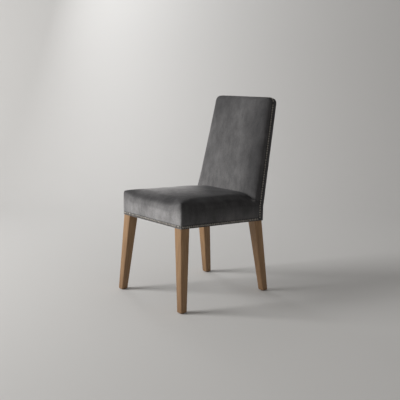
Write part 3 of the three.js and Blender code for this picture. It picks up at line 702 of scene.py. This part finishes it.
def outside_skirt():
    """The upright part below the knee, closed too."""
    front_y = SEAM_Y - BELOW
    outline = [(side * seat_half(front_y), front_y) for side in (-1, 1)]
    for side in (1, -1):
        for i in range(ROUND_STEPS + 1):
            turn = i if side > 0 else ROUND_STEPS - i
            angle = turn / ROUND_STEPS * QUARTER
            x = side * (SEAT_REAR_HALF - BACK_REAR_EDGE * (1 - math.cos(angle)))
            outline.append((x, REAR_Y - BACK_REAR_EDGE * (1 - math.sin(angle))))
    low = [Vector((x, y, edge_height(y) - BELOW)) for x, y in outline]
    high = [Vector((x, y, KNEE + BACK_REAR_EDGE)) for x, y in outline]
    return stacked([low, high])


def outside_blocks():
    """Both parts of the outside back, which the remesh joins."""
    points, faces = outside_slab()
    more_points, more_faces = outside_skirt()
    shift = len(points)
    faces += [tuple(i + shift for i in face) for face in more_faces]
    return new_piece("velvet_outside_back", points + more_points, faces)


def outside_trimmed(bm):
    """Cuts the outside back's cloth off at its lower edge and at the seam."""
    cut_below(bm, REAR_Y)
    sliced_at_upper_seam(bm)
    sliced_at_lower_seam(bm)
    without(bm, lambda c: in_back(c)[1] > SEAM if c.z > KNEE else c.y < SEAM_Y)


def taut_hand(p, normal):
    return uneven(p, normal, TAUT_SHARE)


def make_outside_back(velvet):
    piece = outside_blocks()
    remeshed(piece, OUTSIDE_VOXEL)
    relaxed(piece, 1)
    reshape(piece, outside_trimmed)
    subdivided(piece)
    reshape(piece, lambda bm: tucked(bm, lambda p: p.z > edge_height(p.y) + HEM_REACH))
    upholstered(piece, taut_hand)
    return dressed(piece, velvet, "velvet", "outside_back_cover")


# Nail trim

NAIL_SIDES = 14
# The head's rings from its rim up: shares of the radius and of the dome's height
NAIL_PROFILE = ((1.0, -0.25), (1.0, 0.1), (0.94, 0.32), (0.8, 0.6), (0.58, 0.84), (0.3, 0.97))
NAIL_JITTER = 0.0002
NAIL_TILT = 0.05
DRIFT_STEP = 1.7
DRIFT_LEVEL = 0.5
NAIL_MARGIN = 0.007
ARC_STEPS = 12


def spaced(path):
    """Places and outward directions at the nails' pitch, centred on a path."""
    runs = [0.0]
    for (a, _), (b, _) in zip(path, path[1:]):
        runs.append(runs[-1] + (b - a).length)
    count = math.floor(runs[-1] / NAIL_PITCH + TINY)
    spots = []
    for k in range(count):
        run = runs[-1] / 2 + (k + 0.5 - count / 2) * NAIL_PITCH
        i = next(i for i in range(1, len(runs)) if runs[i] >= run)
        share = (run - runs[i - 1]) / (runs[i] - runs[i - 1])
        place = path[i - 1][0].lerp(path[i][0], share)
        out = path[i - 1][1].lerp(path[i][1], share).normalized()
        spots.append((place, out))
    return spots


def nail_row(name, path, metal, seed):
    """A row of domed nail heads in one mesh, each a little askew."""
    points = []
    faces = []
    for k, (place, out) in enumerate(spaced(path)):
        drift = noise.noise_vector(Vector((k * DRIFT_STEP, seed, DRIFT_LEVEL)))
        lean = (out + drift * NAIL_TILT).normalized()
        turn = lean.to_track_quat("Z", "X")
        centre = place + (drift - out * drift.dot(out)) * NAIL_JITTER
        start = len(points)
        for share, rise in NAIL_PROFILE:
            for i in range(NAIL_SIDES):
                angle = i / NAIL_SIDES * math.tau
                radius = NAIL_RADIUS * share
                local = Vector((radius * math.cos(angle), radius * math.sin(angle), rise * NAIL_DOME))
                points.append(centre + turn @ local)
        points.append(centre + turn @ Vector((0, 0, NAIL_DOME)))
        middle = len(points) - 1
        faces += banded(NAIL_SIDES, len(NAIL_PROFILE), start)
        faces += fanned(NAIL_SIDES, middle - NAIL_SIDES, middle)
        faces.append(tuple(start + i for i in reversed(range(NAIL_SIDES))))
    piece = new_piece(name, points, faces)
    smooth_shading(piece)
    return dressed(piece, metal, "nail_metal", name.replace("nails_", "nail_trim_"))


def seat_nail_path(ends, out):
    return [(Vector((x, y, edge_height(y) + NAIL_LINE)), out) for x, y in ends]


def back_side_path(side):
    out = Vector((side, 0, 0))
    knee = back_place(side * back_half(0), NAIL_FROM_REAR, 0)
    low = Vector((knee.x, knee.y, edge_height(knee.y) + NAIL_LINE))
    top = BACK_HEIGHT - BACK_CORNER
    high = back_place(side * back_half(top), NAIL_FROM_REAR, top)
    return [(low, out), (knee, out), (high, out)]


def back_top_path():
    path = []
    start = BACK_HEIGHT - BACK_CORNER
    for side in (1, -1):
        centre = side * (back_half(start) - BACK_CORNER)
        for i in range(ARC_STEPS + 1):
            step = i if side > 0 else ARC_STEPS - i
            angle = step / ARC_STEPS * QUARTER
            x = centre + side * BACK_CORNER * math.cos(angle)
            w = start + BACK_CORNER * math.sin(angle)
            out = back_place(side * math.cos(angle), 0, math.sin(angle)) - back_place(0, 0, 0)
            path.append((back_place(x, NAIL_FROM_REAR, w), out))
    return path


def nail_paths():
    """Each row of nails by name, as places and outward directions along it."""
    front_y = SEAT_FRONT_Y + NAIL_DRAW
    front = seat_half(SEAT_FRONT_Y) - NAIL_MARGIN
    rear = seat_half(REAR_Y) - NAIL_MARGIN
    paths = {
        "front": seat_nail_path([(-front, front_y), (front, front_y)], Vector((0, -1, 0))),
        "rear": seat_nail_path([(-rear, REAR_Y), (rear, REAR_Y)], Vector((0, 1, 0))),
        "back_top": back_top_path(),
    }
    for name, side in (("left", -1), ("right", 1)):
        ends = []
        for y in (SEAT_FRONT_Y + NAIL_MARGIN, SEAM_Y - NAIL_MARGIN / 2):
            ends.append((side * (seat_half(y) - NAIL_DRAW), y))
        paths[name] = seat_nail_path(ends, Vector((side, 0, 0)))
        paths["back_" + name] = back_side_path(side)
    return paths


def nail_tree(paths):
    """All nail places in a tree that finds the nearest one."""
    spots = [spot for path in paths.values() for spot in spaced(path)]
    tree = KDTree(len(spots))
    for k, (place, _) in enumerate(spots):
        tree.insert(place, k)
    tree.balance()
    return tree


DIMPLE_REACH = 0.0058
PULL_REACH = 0.016
PULL_DEPTH = 0.0005


def dimpled(p, normal):
    """Each nail pulls the cloth in round its head, and a little farther off."""
    distance = NAILS.find(p)[2]
    if distance > PULL_REACH * 2:
        return p
    press = NAIL_DIMPLE * math.exp(-((distance / DIMPLE_REACH) ** 2))
    pull = PULL_DEPTH * math.exp(-((distance / PULL_REACH) ** 2))
    return p - normal * (press + pull)


def make_nails(metal, paths):
    for seed, (name, path) in enumerate(paths.items()):
        nail_row("nails_" + name, path, metal, seed)


# Timber, straps and layers taken over from the frame

LEG_ROUND = 0.0012
LEG_FLAT = math.radians(0.3)
LEG_EDGE = math.radians(20)
SHARP = math.radians(32)


def taken(prefix, node):
    """A new piece with the mesh of a frame node."""
    piece = new_piece(prefix + node, [], [])
    bm = bmesh.new()
    bm.from_mesh(nodes[node].data)
    bmesh.ops.remove_doubles(bm, verts=bm.verts, dist=TINY)
    bm.to_mesh(piece.data)
    bm.free()
    return piece


def crisp_shading(piece):
    piece.data.shade_smooth()
    piece.data.set_sharp_from_angle(angle=SHARP)


def leg_rounded(bm):
    """Rounds the leg's long edges and its foot, below the velvet."""
    bmesh.ops.dissolve_limit(bm, angle_limit=LEG_FLAT, verts=bm.verts, edges=bm.edges)
    join = min(edge_height(v.co.y) for v in bm.verts)
    edges = []
    for e in bm.edges:
        below = all(v.co.z < join + NAIL_LINE for v in e.verts)
        if below and len(e.link_faces) == 2 and e.calc_face_angle() > LEG_EDGE:
            edges.append(e)
    rounding = {"offset": LEG_ROUND, "segments": 3, "profile": 0.5}
    bmesh.ops.bevel(bm, geom=edges, affect="EDGES", clamp_overlap=True, **rounding)


def make_legs(oak):
    for node in ("front_leg_left", "front_leg_right", "rear_post_left", "rear_post_right"):
        piece = taken("oak_", node)
        reshape(piece, leg_rounded)
        crisp_shading(piece)
        dressed(piece, oak, "oak", node)


FOAM_VOXEL = 0.008
FOAM_DEPTH = 0.0062


def kept_inside(piece, cover):
    """Presses a piece in wherever it would come within the foam's depth of its cover."""
    tree = BVHTree.FromPolygons(coordinates(cover.data).tolist(), face_corners(cover.data))

    def place(p, _):
        near, out, _, _ = tree.find_nearest(p)
        depth = (near - p).dot(out)
        return near - out * FOAM_DEPTH if depth < FOAM_DEPTH else p

    each_point(piece, place)


def make_foam(foam, covers):
    for node, cover in covers.items():
        piece = taken("cut_", node)
        remeshed(piece, FOAM_VOXEL)
        relaxed(piece, 3)
        kept_inside(piece, cover)
        smooth_shading(piece)
        dressed(piece, foam, "foam", node)


def make_straps(jute):
    names = [f"seat_webbing_{way}_{k}" for way in ("lengthwise", "crosswise") for k in (1, 2, 3)]
    names += [f"back_webbing_{k}" for k in (1, 2, 3)]
    for node in names:
        piece = taken("woven_", node)
        subdivided(piece, 1, "SIMPLE")
        crisp_shading(piece)
        dressed(piece, jute, "jute", node)


def make_sheets(jute, black_cloth):
    for node, finish, slot_name in (
        ("seat_hessian", jute, "jute"),
        ("back_hessian", jute, "jute"),
        ("dust_cover", black_cloth, "dust_cloth"),
    ):
        piece = taken("sheet_", node)
        subdivided(piece, 2, "SIMPLE")
        crisp_shading(piece)
        low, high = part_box(node)
        dressed(piece, finish, slot_name, node)


STAPLE_PITCH = 0.045
STAPLE_CROWN = 0.010
STAPLE_WIRE = 0.0011
STAPLE_INSET = 0.007
STAPLE_MARGIN = 0.06
STAPLE_TAPER = 0.004
STAPLE_GRAIN = 50
STAPLE_SWING = 0.4
BOX_FACES = ((0, 1, 3, 2), (4, 6, 7, 5), (0, 4, 5, 1), (2, 3, 7, 6), (0, 2, 6, 4), (1, 5, 7, 3))


def staple_lines():
    """The four lines of staples, each as its two ends, level with the floor."""
    low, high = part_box("dust_cover")
    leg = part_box("front_leg_right")[0].x
    lines = []
    for y in (low.y + STAPLE_INSET, high.y - STAPLE_INSET):
        lines.append([Vector((-leg, y, 0)), Vector((leg, y, 0))])
    for side in (-1, 1):
        ends = []
        for y in (low.y + STAPLE_MARGIN, high.y - STAPLE_MARGIN):
            out = high.x - STAPLE_INSET - STAPLE_TAPER * along_seat(y)
            ends.append(Vector((side * out, y, 0)))
        lines.append(ends)
    return lines


def staple_corners(spot, along, level):
    """The corners of one staple's crown, set by hand a little askew."""
    way = Matrix.Rotation(noise.noise(spot * STAPLE_GRAIN) * STAPLE_SWING, 3, "Z") @ along
    aside = Vector((-way.y, way.x, 0))
    corners = []
    for u in (-1, 1):
        for v in (-1, 1):
            flat = spot + way * u * STAPLE_CROWN / 2 + aside * v * STAPLE_WIRE / 2
            corners += [Vector((flat.x, flat.y, level + t * STAPLE_WIRE)) for t in (0, 1)]
    return corners


def make_staples(steel):
    """Staples along the dust cover's edge, driven up into the rails."""
    low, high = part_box("dust_cover")
    points = []
    faces = []
    for a, b in staple_lines():
        span = b - a
        count = max(int(span.length / STAPLE_PITCH), 1)
        for k in range(count + 1):
            spot = a + span * k / count
            level = edge_height(spot.y) + (low.z - edge_height(high.y)) - STAPLE_WIRE / 2
            start = len(points)
            points += staple_corners(spot, span.normalized(), level)
            faces += [tuple(start + i for i in face) for face in BOX_FACES]
    piece = new_piece("dust_cover_staples", points, faces)
    return dressed(piece, steel, "zinc_steel")


# Finishes

BLACK = (0.0, 0.0, 0.0)
WHITE = (1.0, 1.0, 1.0)


def finish_of(name, **values):
    """A node material whose shader has these plain values."""
    made = bpy.data.materials.new(name)
    made.use_nodes = True
    shader = made.node_tree.nodes["Principled BSDF"]
    for key, value in values.items():
        shader.inputs[key.replace("_", " ").title()].default_value = value
    return made, made.node_tree, shader


def add_node(tree, kind, **values):
    made = tree.nodes.new("ShaderNode" + kind)
    for key, value in values.items():
        made.inputs[key.title()].default_value = value
    return made


def placed(tree):
    """The place in the frame's own axes."""
    return add_node(tree, "TexCoord").outputs["Object"]


def stretched_noise(tree, scale, detail=2.0, roughness=0.6, stretch=(1, 1, 1)):
    """Noise in the frame's own axes, drawn out where the stretch is small."""
    mapping = add_node(tree, "Mapping", scale=stretch)
    made = add_node(tree, "TexNoise", scale=scale, detail=detail, roughness=roughness)
    tree.links.new(placed(tree), mapping.inputs["Vector"])
    tree.links.new(mapping.outputs["Vector"], made.inputs["Vector"])
    return made.outputs["Fac"]


def ramp(tree, factor, stops):
    made = add_node(tree, "ValToRGB")
    elements = made.color_ramp.elements
    while len(elements) < len(stops):
        elements.new(0.5)
    for element, (place, colour) in zip(elements, stops):
        element.position = place
        element.color = (*colour, 1)
    tree.links.new(factor, made.inputs["Fac"])
    return made.outputs["Color"]


def worked(tree, operation, a, b):
    """One step of arithmetic on values or outputs."""
    made = add_node(tree, "Math")
    made.operation = operation
    for socket, value in zip(made.inputs, (a, b)):
        if isinstance(value, (int, float)):
            socket.default_value = value
        else:
            tree.links.new(value, socket)
    return made.outputs["Value"]


def scaled(tree, value, gain, offset):
    return worked(tree, "ADD", worked(tree, "MULTIPLY", value, gain), offset)


def coloured(tree, shader, factor, stops):
    tree.links.new(ramp(tree, factor, stops), shader.inputs["Base Color"])


def blended(tree, share, a, b):
    """A colour between two, by a share."""
    made = add_node(tree, "Mix")
    made.data_type = "RGBA"
    tree.links.new(share, made.inputs["Factor"])
    for name, value in (("A", a), ("B", b)):
        socket = next(s for s in made.inputs if s.name == name and s.type == "RGBA")
        if isinstance(value, tuple):
            socket.default_value = (*value, 1)
        else:
            tree.links.new(value, socket)
    return next(s for s in made.outputs if s.type == "RGBA")


def bumped(tree, shader, height, distance, strength=0.5):
    made = add_node(tree, "Bump", distance=distance, strength=strength)
    tree.links.new(height, made.inputs["Height"])
    tree.links.new(made.outputs["Normal"], shader.inputs["Normal"])


VELVET_DARK = (0.011, 0.011, 0.013)
VELVET_LIGHT = (0.589, 0.583, 0.593)
VELVET_SHEEN = (0.8, 0.8, 0.84, 1)
# Layers of light and dark, each with its stretch, scale, detail and depth
VELVET_MOTTLE = (
    ((1, 1, 0.7), 9.0, 4.0, 0.95),
    ((1, 1, 0.14), 60.0, 3.0, 0.45),
    ((1, 1, 0.6), 24.0, 4.0, 1.1),
    ((1, 1, 0.5), 260.0, 2.0, 0.6),
)


def make_velvet():
    """Grey velvet: its colour follows a tone for each point, which holds painted light, shade and sheen,
    under a random mottle.
    """
    made, tree, shader = finish_of("velvet", roughness=0.85, sheen_weight=0.08, sheen_roughness=0.35)
    shader.inputs["Sheen Tint"].default_value = VELVET_SHEEN
    shader.inputs["Specular IOR Level"].default_value = 0.15
    # The tone attribute holds painted light, shade and sheen; times the mottle it sets the colour
    tone = add_node(tree, "Attribute")
    tone.attribute_name = PAINTED_LIGHT_ATTRIBUTE
    shift = 0.0
    for stretch, scale, detail, depth in VELVET_MOTTLE:
        layer = stretched_noise(tree, scale, detail, stretch=stretch)
        shift = scaled(tree, worked(tree, "SUBTRACT", layer, 0.5), depth, shift)
    share = worked(tree, "MULTIPLY", worked(tree, "ADD", shift, 1.0), 0.5)
    painted_light_and_mottle = worked(tree, "MULTIPLY", tone.outputs["Fac"], share)
    coloured(tree, shader, painted_light_and_mottle, ((0.0, VELVET_DARK), (1.0, VELVET_LIGHT)))
    pile = stretched_noise(tree, scale=900.0, roughness=0.7, stretch=(1, 1, 0.6))
    bumped(tree, shader, pile, distance=0.0004)
    return made


OAK_STOPS = ((0.25, (0.175, 0.09, 0.036)), (0.5, (0.34, 0.20, 0.095)), (0.78, (0.47, 0.30, 0.155)))
OAK_PORE = (0.13, 0.07, 0.035)
PORE_STOPS = ((0.30, BLACK), (0.42, WHITE))
# How much darker the oak is at the floor, and from which height down
OAK_FLOOR_DARKENING = 0.42
OAK_FLOOR_DARKENING_HEIGHT = 0.34


def make_oak():
    """Oiled oak with its grain up the leg, a little darker towards the floor."""
    made, tree, shader = finish_of("oak", roughness=0.5)
    bands = stretched_noise(tree, scale=95.0, detail=5.0, roughness=0.62, stretch=(1, 1, 0.045))
    pores = stretched_noise(tree, scale=620.0, roughness=0.5, stretch=(1, 1, 0.02))
    broad = stretched_noise(tree, scale=14.0, roughness=0.5, stretch=(1, 1, 0.12))
    grain = scaled(tree, bands, gain=0.62, offset=worked(tree, "MULTIPLY", broad, 0.38))
    share = scaled(tree, ramp(tree, pores, PORE_STOPS), gain=0.35, offset=0.65)
    grained = blended(tree, share, OAK_PORE, ramp(tree, grain, OAK_STOPS))
    axes = add_node(tree, "SeparateXYZ")
    tree.links.new(placed(tree), axes.inputs["Vector"])
    # The oak is darker towards the floor, by height alone
    floor_darkening = ramp(tree, axes.outputs["Z"], ((0.0, (OAK_FLOOR_DARKENING,) * 3), (OAK_FLOOR_DARKENING_HEIGHT, BLACK)))
    tree.links.new(blended(tree, floor_darkening, grained, OAK_PORE), shader.inputs["Base Color"])
    bumped(tree, shader, pores, distance=0.0002, strength=0.35)
    tree.links.new(scaled(tree, bands, gain=0.2, offset=0.38), shader.inputs["Roughness"])
    return made


BEECH_STOPS = ((0.3, (0.45, 0.28, 0.16)), (0.7, (0.62, 0.43, 0.27)))


def make_beech(name, stretch):
    made, tree, shader = finish_of(name, roughness=0.6)
    grain = stretched_noise(tree, scale=80.0, detail=4.0, roughness=0.55, stretch=stretch)
    coloured(tree, shader, grain, BEECH_STOPS)
    bumped(tree, shader, grain, distance=0.0002, strength=0.3)
    return made


def mottled(name, dark, light, roughness, scale, depth, detail=4.0):
    """A plain material with a noise between two colours and a bump of the same noise."""
    made, tree, shader = finish_of(name, roughness=roughness)
    grain = stretched_noise(tree, scale, detail)
    coloured(tree, shader, grain, ((0.3, dark), (0.7, light)))
    bumped(tree, shader, grain, depth)
    return made


def make_foam_finish():
    colours = (0.72, 0.66, 0.48), (0.82, 0.77, 0.6)
    return mottled("foam", *colours, roughness=0.95, scale=260.0, depth=0.0005)


def make_wadding():
    colours = (0.76, 0.76, 0.74), (0.9, 0.9, 0.88)
    return mottled("wadding", *colours, roughness=1.0, scale=120.0, depth=0.0008)


def make_board():
    colours = (0.30, 0.22, 0.14), (0.42, 0.32, 0.21)
    return mottled("board", *colours, roughness=0.85, scale=300.0, depth=0.0002)


def make_nylon():
    colours = (0.03, 0.027, 0.024), (0.045, 0.04, 0.036)
    return mottled("glide_nylon", *colours, roughness=0.55, scale=200.0, depth=0.0001)


def make_black_cloth():
    colours = (0.012, 0.012, 0.013), (0.035, 0.035, 0.037)
    return mottled("dust_cloth", *colours, roughness=0.95, scale=420.0, depth=0.0003, detail=2.0)


JUTE_STOPS = ((0.0, (0.16, 0.10, 0.05)), (0.6, (0.42, 0.29, 0.16)))


def make_jute():
    """Coarse woven jute: two crossed waves."""
    made, tree, shader = finish_of("jute", roughness=0.9)
    heights = []
    for direction in ("X", "Y"):
        wave = add_node(tree, "TexWave", scale=150.0, distortion=0.6)
        wave.bands_direction = direction
        tree.links.new(placed(tree), wave.inputs["Vector"])
        heights.append(wave.outputs["Fac"])
    weave = worked(tree, "MULTIPLY", heights[0], heights[1])
    coloured(tree, shader, weave, JUTE_STOPS)
    bumped(tree, shader, weave, distance=0.0005, strength=0.6)
    return made


PEWTER_STOPS = ((0.32, (0.11, 0.10, 0.09)), (0.62, (0.44, 0.42, 0.39)))


def make_pewter():
    """Antiqued nail heads: dark in places, rubbed bright in others."""
    made, tree, shader = finish_of("nail_metal", metallic=1.0)
    rub = stretched_noise(tree, scale=190.0, detail=3.0)
    coloured(tree, shader, rub, PEWTER_STOPS)
    tree.links.new(scaled(tree, rub, gain=-0.3, offset=0.52), shader.inputs["Roughness"])
    return made


STEEL_STOPS = ((0.3, (0.5, 0.51, 0.52)), (0.7, (0.68, 0.69, 0.7)))


def make_steel():
    made, tree, shader = finish_of("zinc_steel", metallic=1.0, roughness=0.35)
    coloured(tree, shader, stretched_noise(tree, scale=300.0, roughness=0.5), STEEL_STOPS)
    return made


# Painted light, shade and sheen on the velvet, as a tone for each point

PAINTED_LIGHT_ATTRIBUTE = "painted_light_tone"
# Tones of painted light on the faces that turn to the window and painted shade on those that turn away
FRONT_TONE = 0.90
FRONT_TOP_TONE = 0.26
SIDE_TONE = 0.34
TOP_TONE = 1.4
TOP_EDGE_TONE = 0.1
BACK_FACE_TONE = 0.46
BACK_SIDE_TONE = 0.22
REAR_TONE = 0.26

# Where the top's half of painted light ends across and its painted shade begins, how softly, and how both
# change towards the rear
TOP_LIGHT_FROM = 0.24
TOP_REAR = (0.4, 0.85)
TOP_MIDDLE = (0.46, 0.18)
TOP_SOFTNESS = (0.48, 0.16)


def top_painted_light(across, along):
    """The seat's top: painted light at its left, and painted shade to the right and the rear, along a
    slanting line.
    """
    rear = eased(*TOP_REAR, along)
    middle = mix(*TOP_MIDDLE, rear)
    width = mix(*TOP_SOFTNESS, rear)
    light = TOP_TONE * eased(0, TOP_LIGHT_FROM, along)
    return TOP_EDGE_TONE + light * (1 - eased(middle - width, middle + width, across))


def faded(change, value):
    """A share of a tone, by where the change starts and ends and the shares there."""
    start, end, first, last = change
    return mix(first, last, eased(start, end, value))


def weighed(normal, front, side, rear, up):
    """The tones of four sides, each weighed by how far the normal turns its way, so that light and shade
    are painted by how each face turns.
    """
    weights = (max(-normal.y, 0) ** 2, normal.x ** 2, max(normal.y, 0) ** 2, max(normal.z, 0) ** 2)
    tones = (front, side, rear, up)
    return sum(w * t for w, t in zip(weights, tones)) / max(sum(weights), TINY)


# The ragged edge of the painted shade along the top of the seat's front
TONGUE = 0.045
TONGUE_ROW = 0.3
TONGUE_HEIGHT = 0.11
FRONT_RISE = (0.3, 1.08)
FRONT_ACROSS = (0.95, 1.15)
SIDE_CHANGE = (0, 0.7, 1.0, 0.48)


def seat_painted_light(p, normal):
    """Painted light on the front, painted shade on the sides, and a slow change across the top from painted
    light to painted shade.
    """
    height = (p.z - edge_height(p.y)) / seat_thick(p.y)
    tongue = noise.noise(Vector((p.x / TONGUE, TONGUE_ROW, p.z / TONGUE))) * TONGUE_HEIGHT
    across = (p.x / SEAT_FRONT_HALF + 1) / 2
    front = mix(FRONT_TONE, FRONT_TOP_TONE, eased(*FRONT_RISE, height + tongue))
    front *= mix(*FRONT_ACROSS, across)
    side = SIDE_TONE * faded(SIDE_CHANGE, height)
    return weighed(normal, front, side, side, top_painted_light(across, along_seat(p.y)))


# Painted light and shade on the back's face: up its lower and its upper part, to the right, and at its top
# left corner
BACK_LOWER = (0.0, 0.45, 1.2, 0.74)
BACK_UPPER = (0.75, 1.0, 1.0, 0.88)
BACK_RIGHT = (0.15, 0.95, 1.0, 0.44)
CORNER_RISE = (0.62, 0.95)
CORNER_ASIDE = (-0.1, 0.6)
CORNER_SHARE = 0.6


def back_painted_light(p, normal):
    """Painted light, lightest low on the face, and painted shade to the right, at the top and on the sides.
    """
    x, _, w = in_back(p)
    rise = w / BACK_HEIGHT
    aside = x / back_half(max(w, 0))
    face = BACK_FACE_TONE * faded(BACK_LOWER, rise) * faded(BACK_UPPER, rise) * faded(BACK_RIGHT, aside)
    face *= mix(1.0, CORNER_SHARE, eased(*CORNER_RISE, rise) * eased(*CORNER_ASIDE, -aside))
    return weighed(normal, face, BACK_SIDE_TONE, REAR_TONE, face)


# A ring of painted shade round each nail head
NAIL_SHADE_AT = 0.0065
NAIL_SHADE_WIDTH = 0.0022
NAIL_SHADE_DARK = 0.6


def painted_nail_shade(p):
    """Painted shade: the velvet is darker in a ring round each nail head."""
    off = (NAILS.find(p)[2] - NAIL_SHADE_AT) / NAIL_SHADE_WIDTH
    return 1 - NAIL_SHADE_DARK * math.exp(-(off ** 2))


# Stores each point's painted light and shade, with the painted shade round the nails, for the velvet's
# colour
def toned(piece, tone_at):
    tone = piece.data.attributes.new(PAINTED_LIGHT_ATTRIBUTE, "FLOAT", "POINT")
    tone.data.foreach_set("value", [tone_at(v.co, v.normal) * painted_nail_shade(v.co) for v in piece.data.vertices])


# Floor, light and camera

FLOOR_HALF = 6.0
SWEEP_RADIUS = 1.5
SWEEP_START = 2.0
SWEEP_STEPS = 12
STAGE_COLOUR = (0.64, 0.64, 0.64, 1)
CAMERA_PLACE = Vector((2.6662, -2.2464, 1.0793))
CAMERA_AZIMUTH = math.radians(49.91)
CAMERA_PITCH = math.radians(10.0)
CAMERA_ROLL = math.radians(0.50)
CAMERA_LENS = 62.96
SENSOR = 36.0


def make_camera():
    """The photo's own view: turned about Z, pitched down and rolled a little."""
    data = bpy.data.cameras.new("camera")
    data.lens = CAMERA_LENS
    data.sensor_width = SENSOR
    camera = bpy.data.objects.new("camera", data)
    aimed = Matrix.Rotation(CAMERA_AZIMUTH, 4, "Z") @ Matrix.Rotation(QUARTER - CAMERA_PITCH, 4, "X")
    rolled = aimed @ Matrix.Rotation(CAMERA_ROLL, 4, "Z")
    camera.matrix_world = Matrix.Translation(CAMERA_PLACE) @ rolled
    scene.collection.objects.link(camera)
    scene.camera = camera


def make_stage():
    """A pale floor and backdrop, clear to a camera under or behind them."""
    made, tree, shader = finish_of("stage", roughness=0.9, base_color=STAGE_COLOUR)
    from_above = add_node(tree, "NewGeometry").outputs["Backfacing"]
    by_camera = add_node(tree, "LightPath").outputs["Is Camera Ray"]
    clear = add_node(tree, "BsdfTransparent")
    either = add_node(tree, "MixShader")
    tree.links.new(worked(tree, "GREATER_THAN", by_camera, from_above), either.inputs["Fac"])
    tree.links.new(shader.outputs["BSDF"], either.inputs[1])
    tree.links.new(clear.outputs["BSDF"], either.inputs[2])
    tree.links.new(either.outputs["Shader"], tree.nodes["Material Output"].inputs["Surface"])
    profile = [(-FLOOR_HALF, 0.0), (SWEEP_START, 0.0)]
    for i in range(1, SWEEP_STEPS + 1):
        angle = i / SWEEP_STEPS * QUARTER
        profile.append((SWEEP_START + SWEEP_RADIUS * math.sin(angle), SWEEP_RADIUS * (1 - math.cos(angle))))
    profile.append((SWEEP_START + SWEEP_RADIUS, FLOOR_HALF))
    turn = Matrix.Rotation(CAMERA_AZIMUTH, 4, "Z")
    points = [turn @ Vector((x, y, z)) for y, z in profile for x in (-FLOOR_HALF, FLOOR_HALF)]
    faces = [(2 * i, 2 * i + 1, 2 * i + 3, 2 * i + 2) for i in range(len(profile) - 1)]
    floor = new_piece("stage_floor", points, faces)
    smooth_shading(floor)
    floor.data.materials.append(made)


def area_light(name, place, target, size, power, colour):
    data = bpy.data.lights.new(name, "AREA")
    data.shape = "RECTANGLE"
    data.size, data.size_y = size
    data.energy = power
    data.color = colour
    light = bpy.data.objects.new(name, data)
    light.location = place
    light.rotation_mode = "QUATERNION"
    light.rotation_quaternion = (Vector(target) - Vector(place)).to_track_quat("-Z", "Y")
    scene.collection.objects.link(light)


WINDOW_COLOUR = (1.0, 0.985, 0.96)
ROOM_COLOUR = (1.0, 0.96, 0.91, 1)
ROOM_STRENGTH = 0.26


def make_light():
    """A window at the front left, a weak lamp on the backdrop and the room's even light."""
    window = {"place": (-2.7, -4.0, 2.5), "target": (0, 0, 0.5), "size": (2.4, 3.2)}
    area_light("window", power=265, colour=WINDOW_COLOUR, **window)
    lamp = {"place": (-2.6, 0.6, 2.2), "target": (-0.6, 3.4, 1.2), "size": (1.2, 1.6)}
    area_light("wall_light", power=18, colour=WHITE, **lamp)
    world = bpy.data.worlds.new("room")
    world.use_nodes = True
    background = world.node_tree.nodes["Background"]
    background.inputs["Color"].default_value = ROOM_COLOUR
    background.inputs["Strength"].default_value = ROOM_STRENGTH
    scene.world = world
    scene.view_settings.view_transform = "Standard"


# The whole chair

rows_of_nails = nail_paths()
NAILS = nail_tree(rows_of_nails)

velvet = make_velvet()
oak = make_oak()
beech_across = make_beech("beech_across", (0.06, 1, 1))
beech_along = make_beech("beech_along", (1, 0.06, 1))
foam = make_foam_finish()
wadding = make_wadding()
jute = make_jute()
black_cloth = make_black_cloth()
board = make_board()
steel = make_steel()
pewter = make_pewter()
nylon = make_nylon()

seat, seat_layer = make_seat(velvet, wadding)
inside_back, back_layer = make_inside_back(velvet, wadding)
toned(seat, seat_painted_light)
toned(inside_back, back_painted_light)
toned(make_outside_back(velvet), back_painted_light)
make_nails(pewter, rows_of_nails)
make_legs(oak)
make_foam(foam, {"seat_foam": seat_layer, "back_foam": back_layer})
make_straps(jute)
make_sheets(jute, black_cloth)
make_staples(steel)

for layer in (seat_layer, back_layer):
    thickened(layer, FLEECE)

for name, node in nodes.items():
    if name.startswith(("seat_rail_front", "seat_rail_rear", "back_lower", "back_top")):
        finish = beech_across
    elif name.startswith(("seat_rail", "corner_block")):
        finish = beech_along
    elif "glide" in name:
        finish = nylon
    elif "board" in name:
        finish = board
    elif name.startswith("leg_bolt") or "screw" in name:
        finish = steel
    else:
        continue
    node.data.materials.clear()
    node.data.materials.append(finish)
    crisp_shading(node)

make_stage()
make_light()
make_camera()
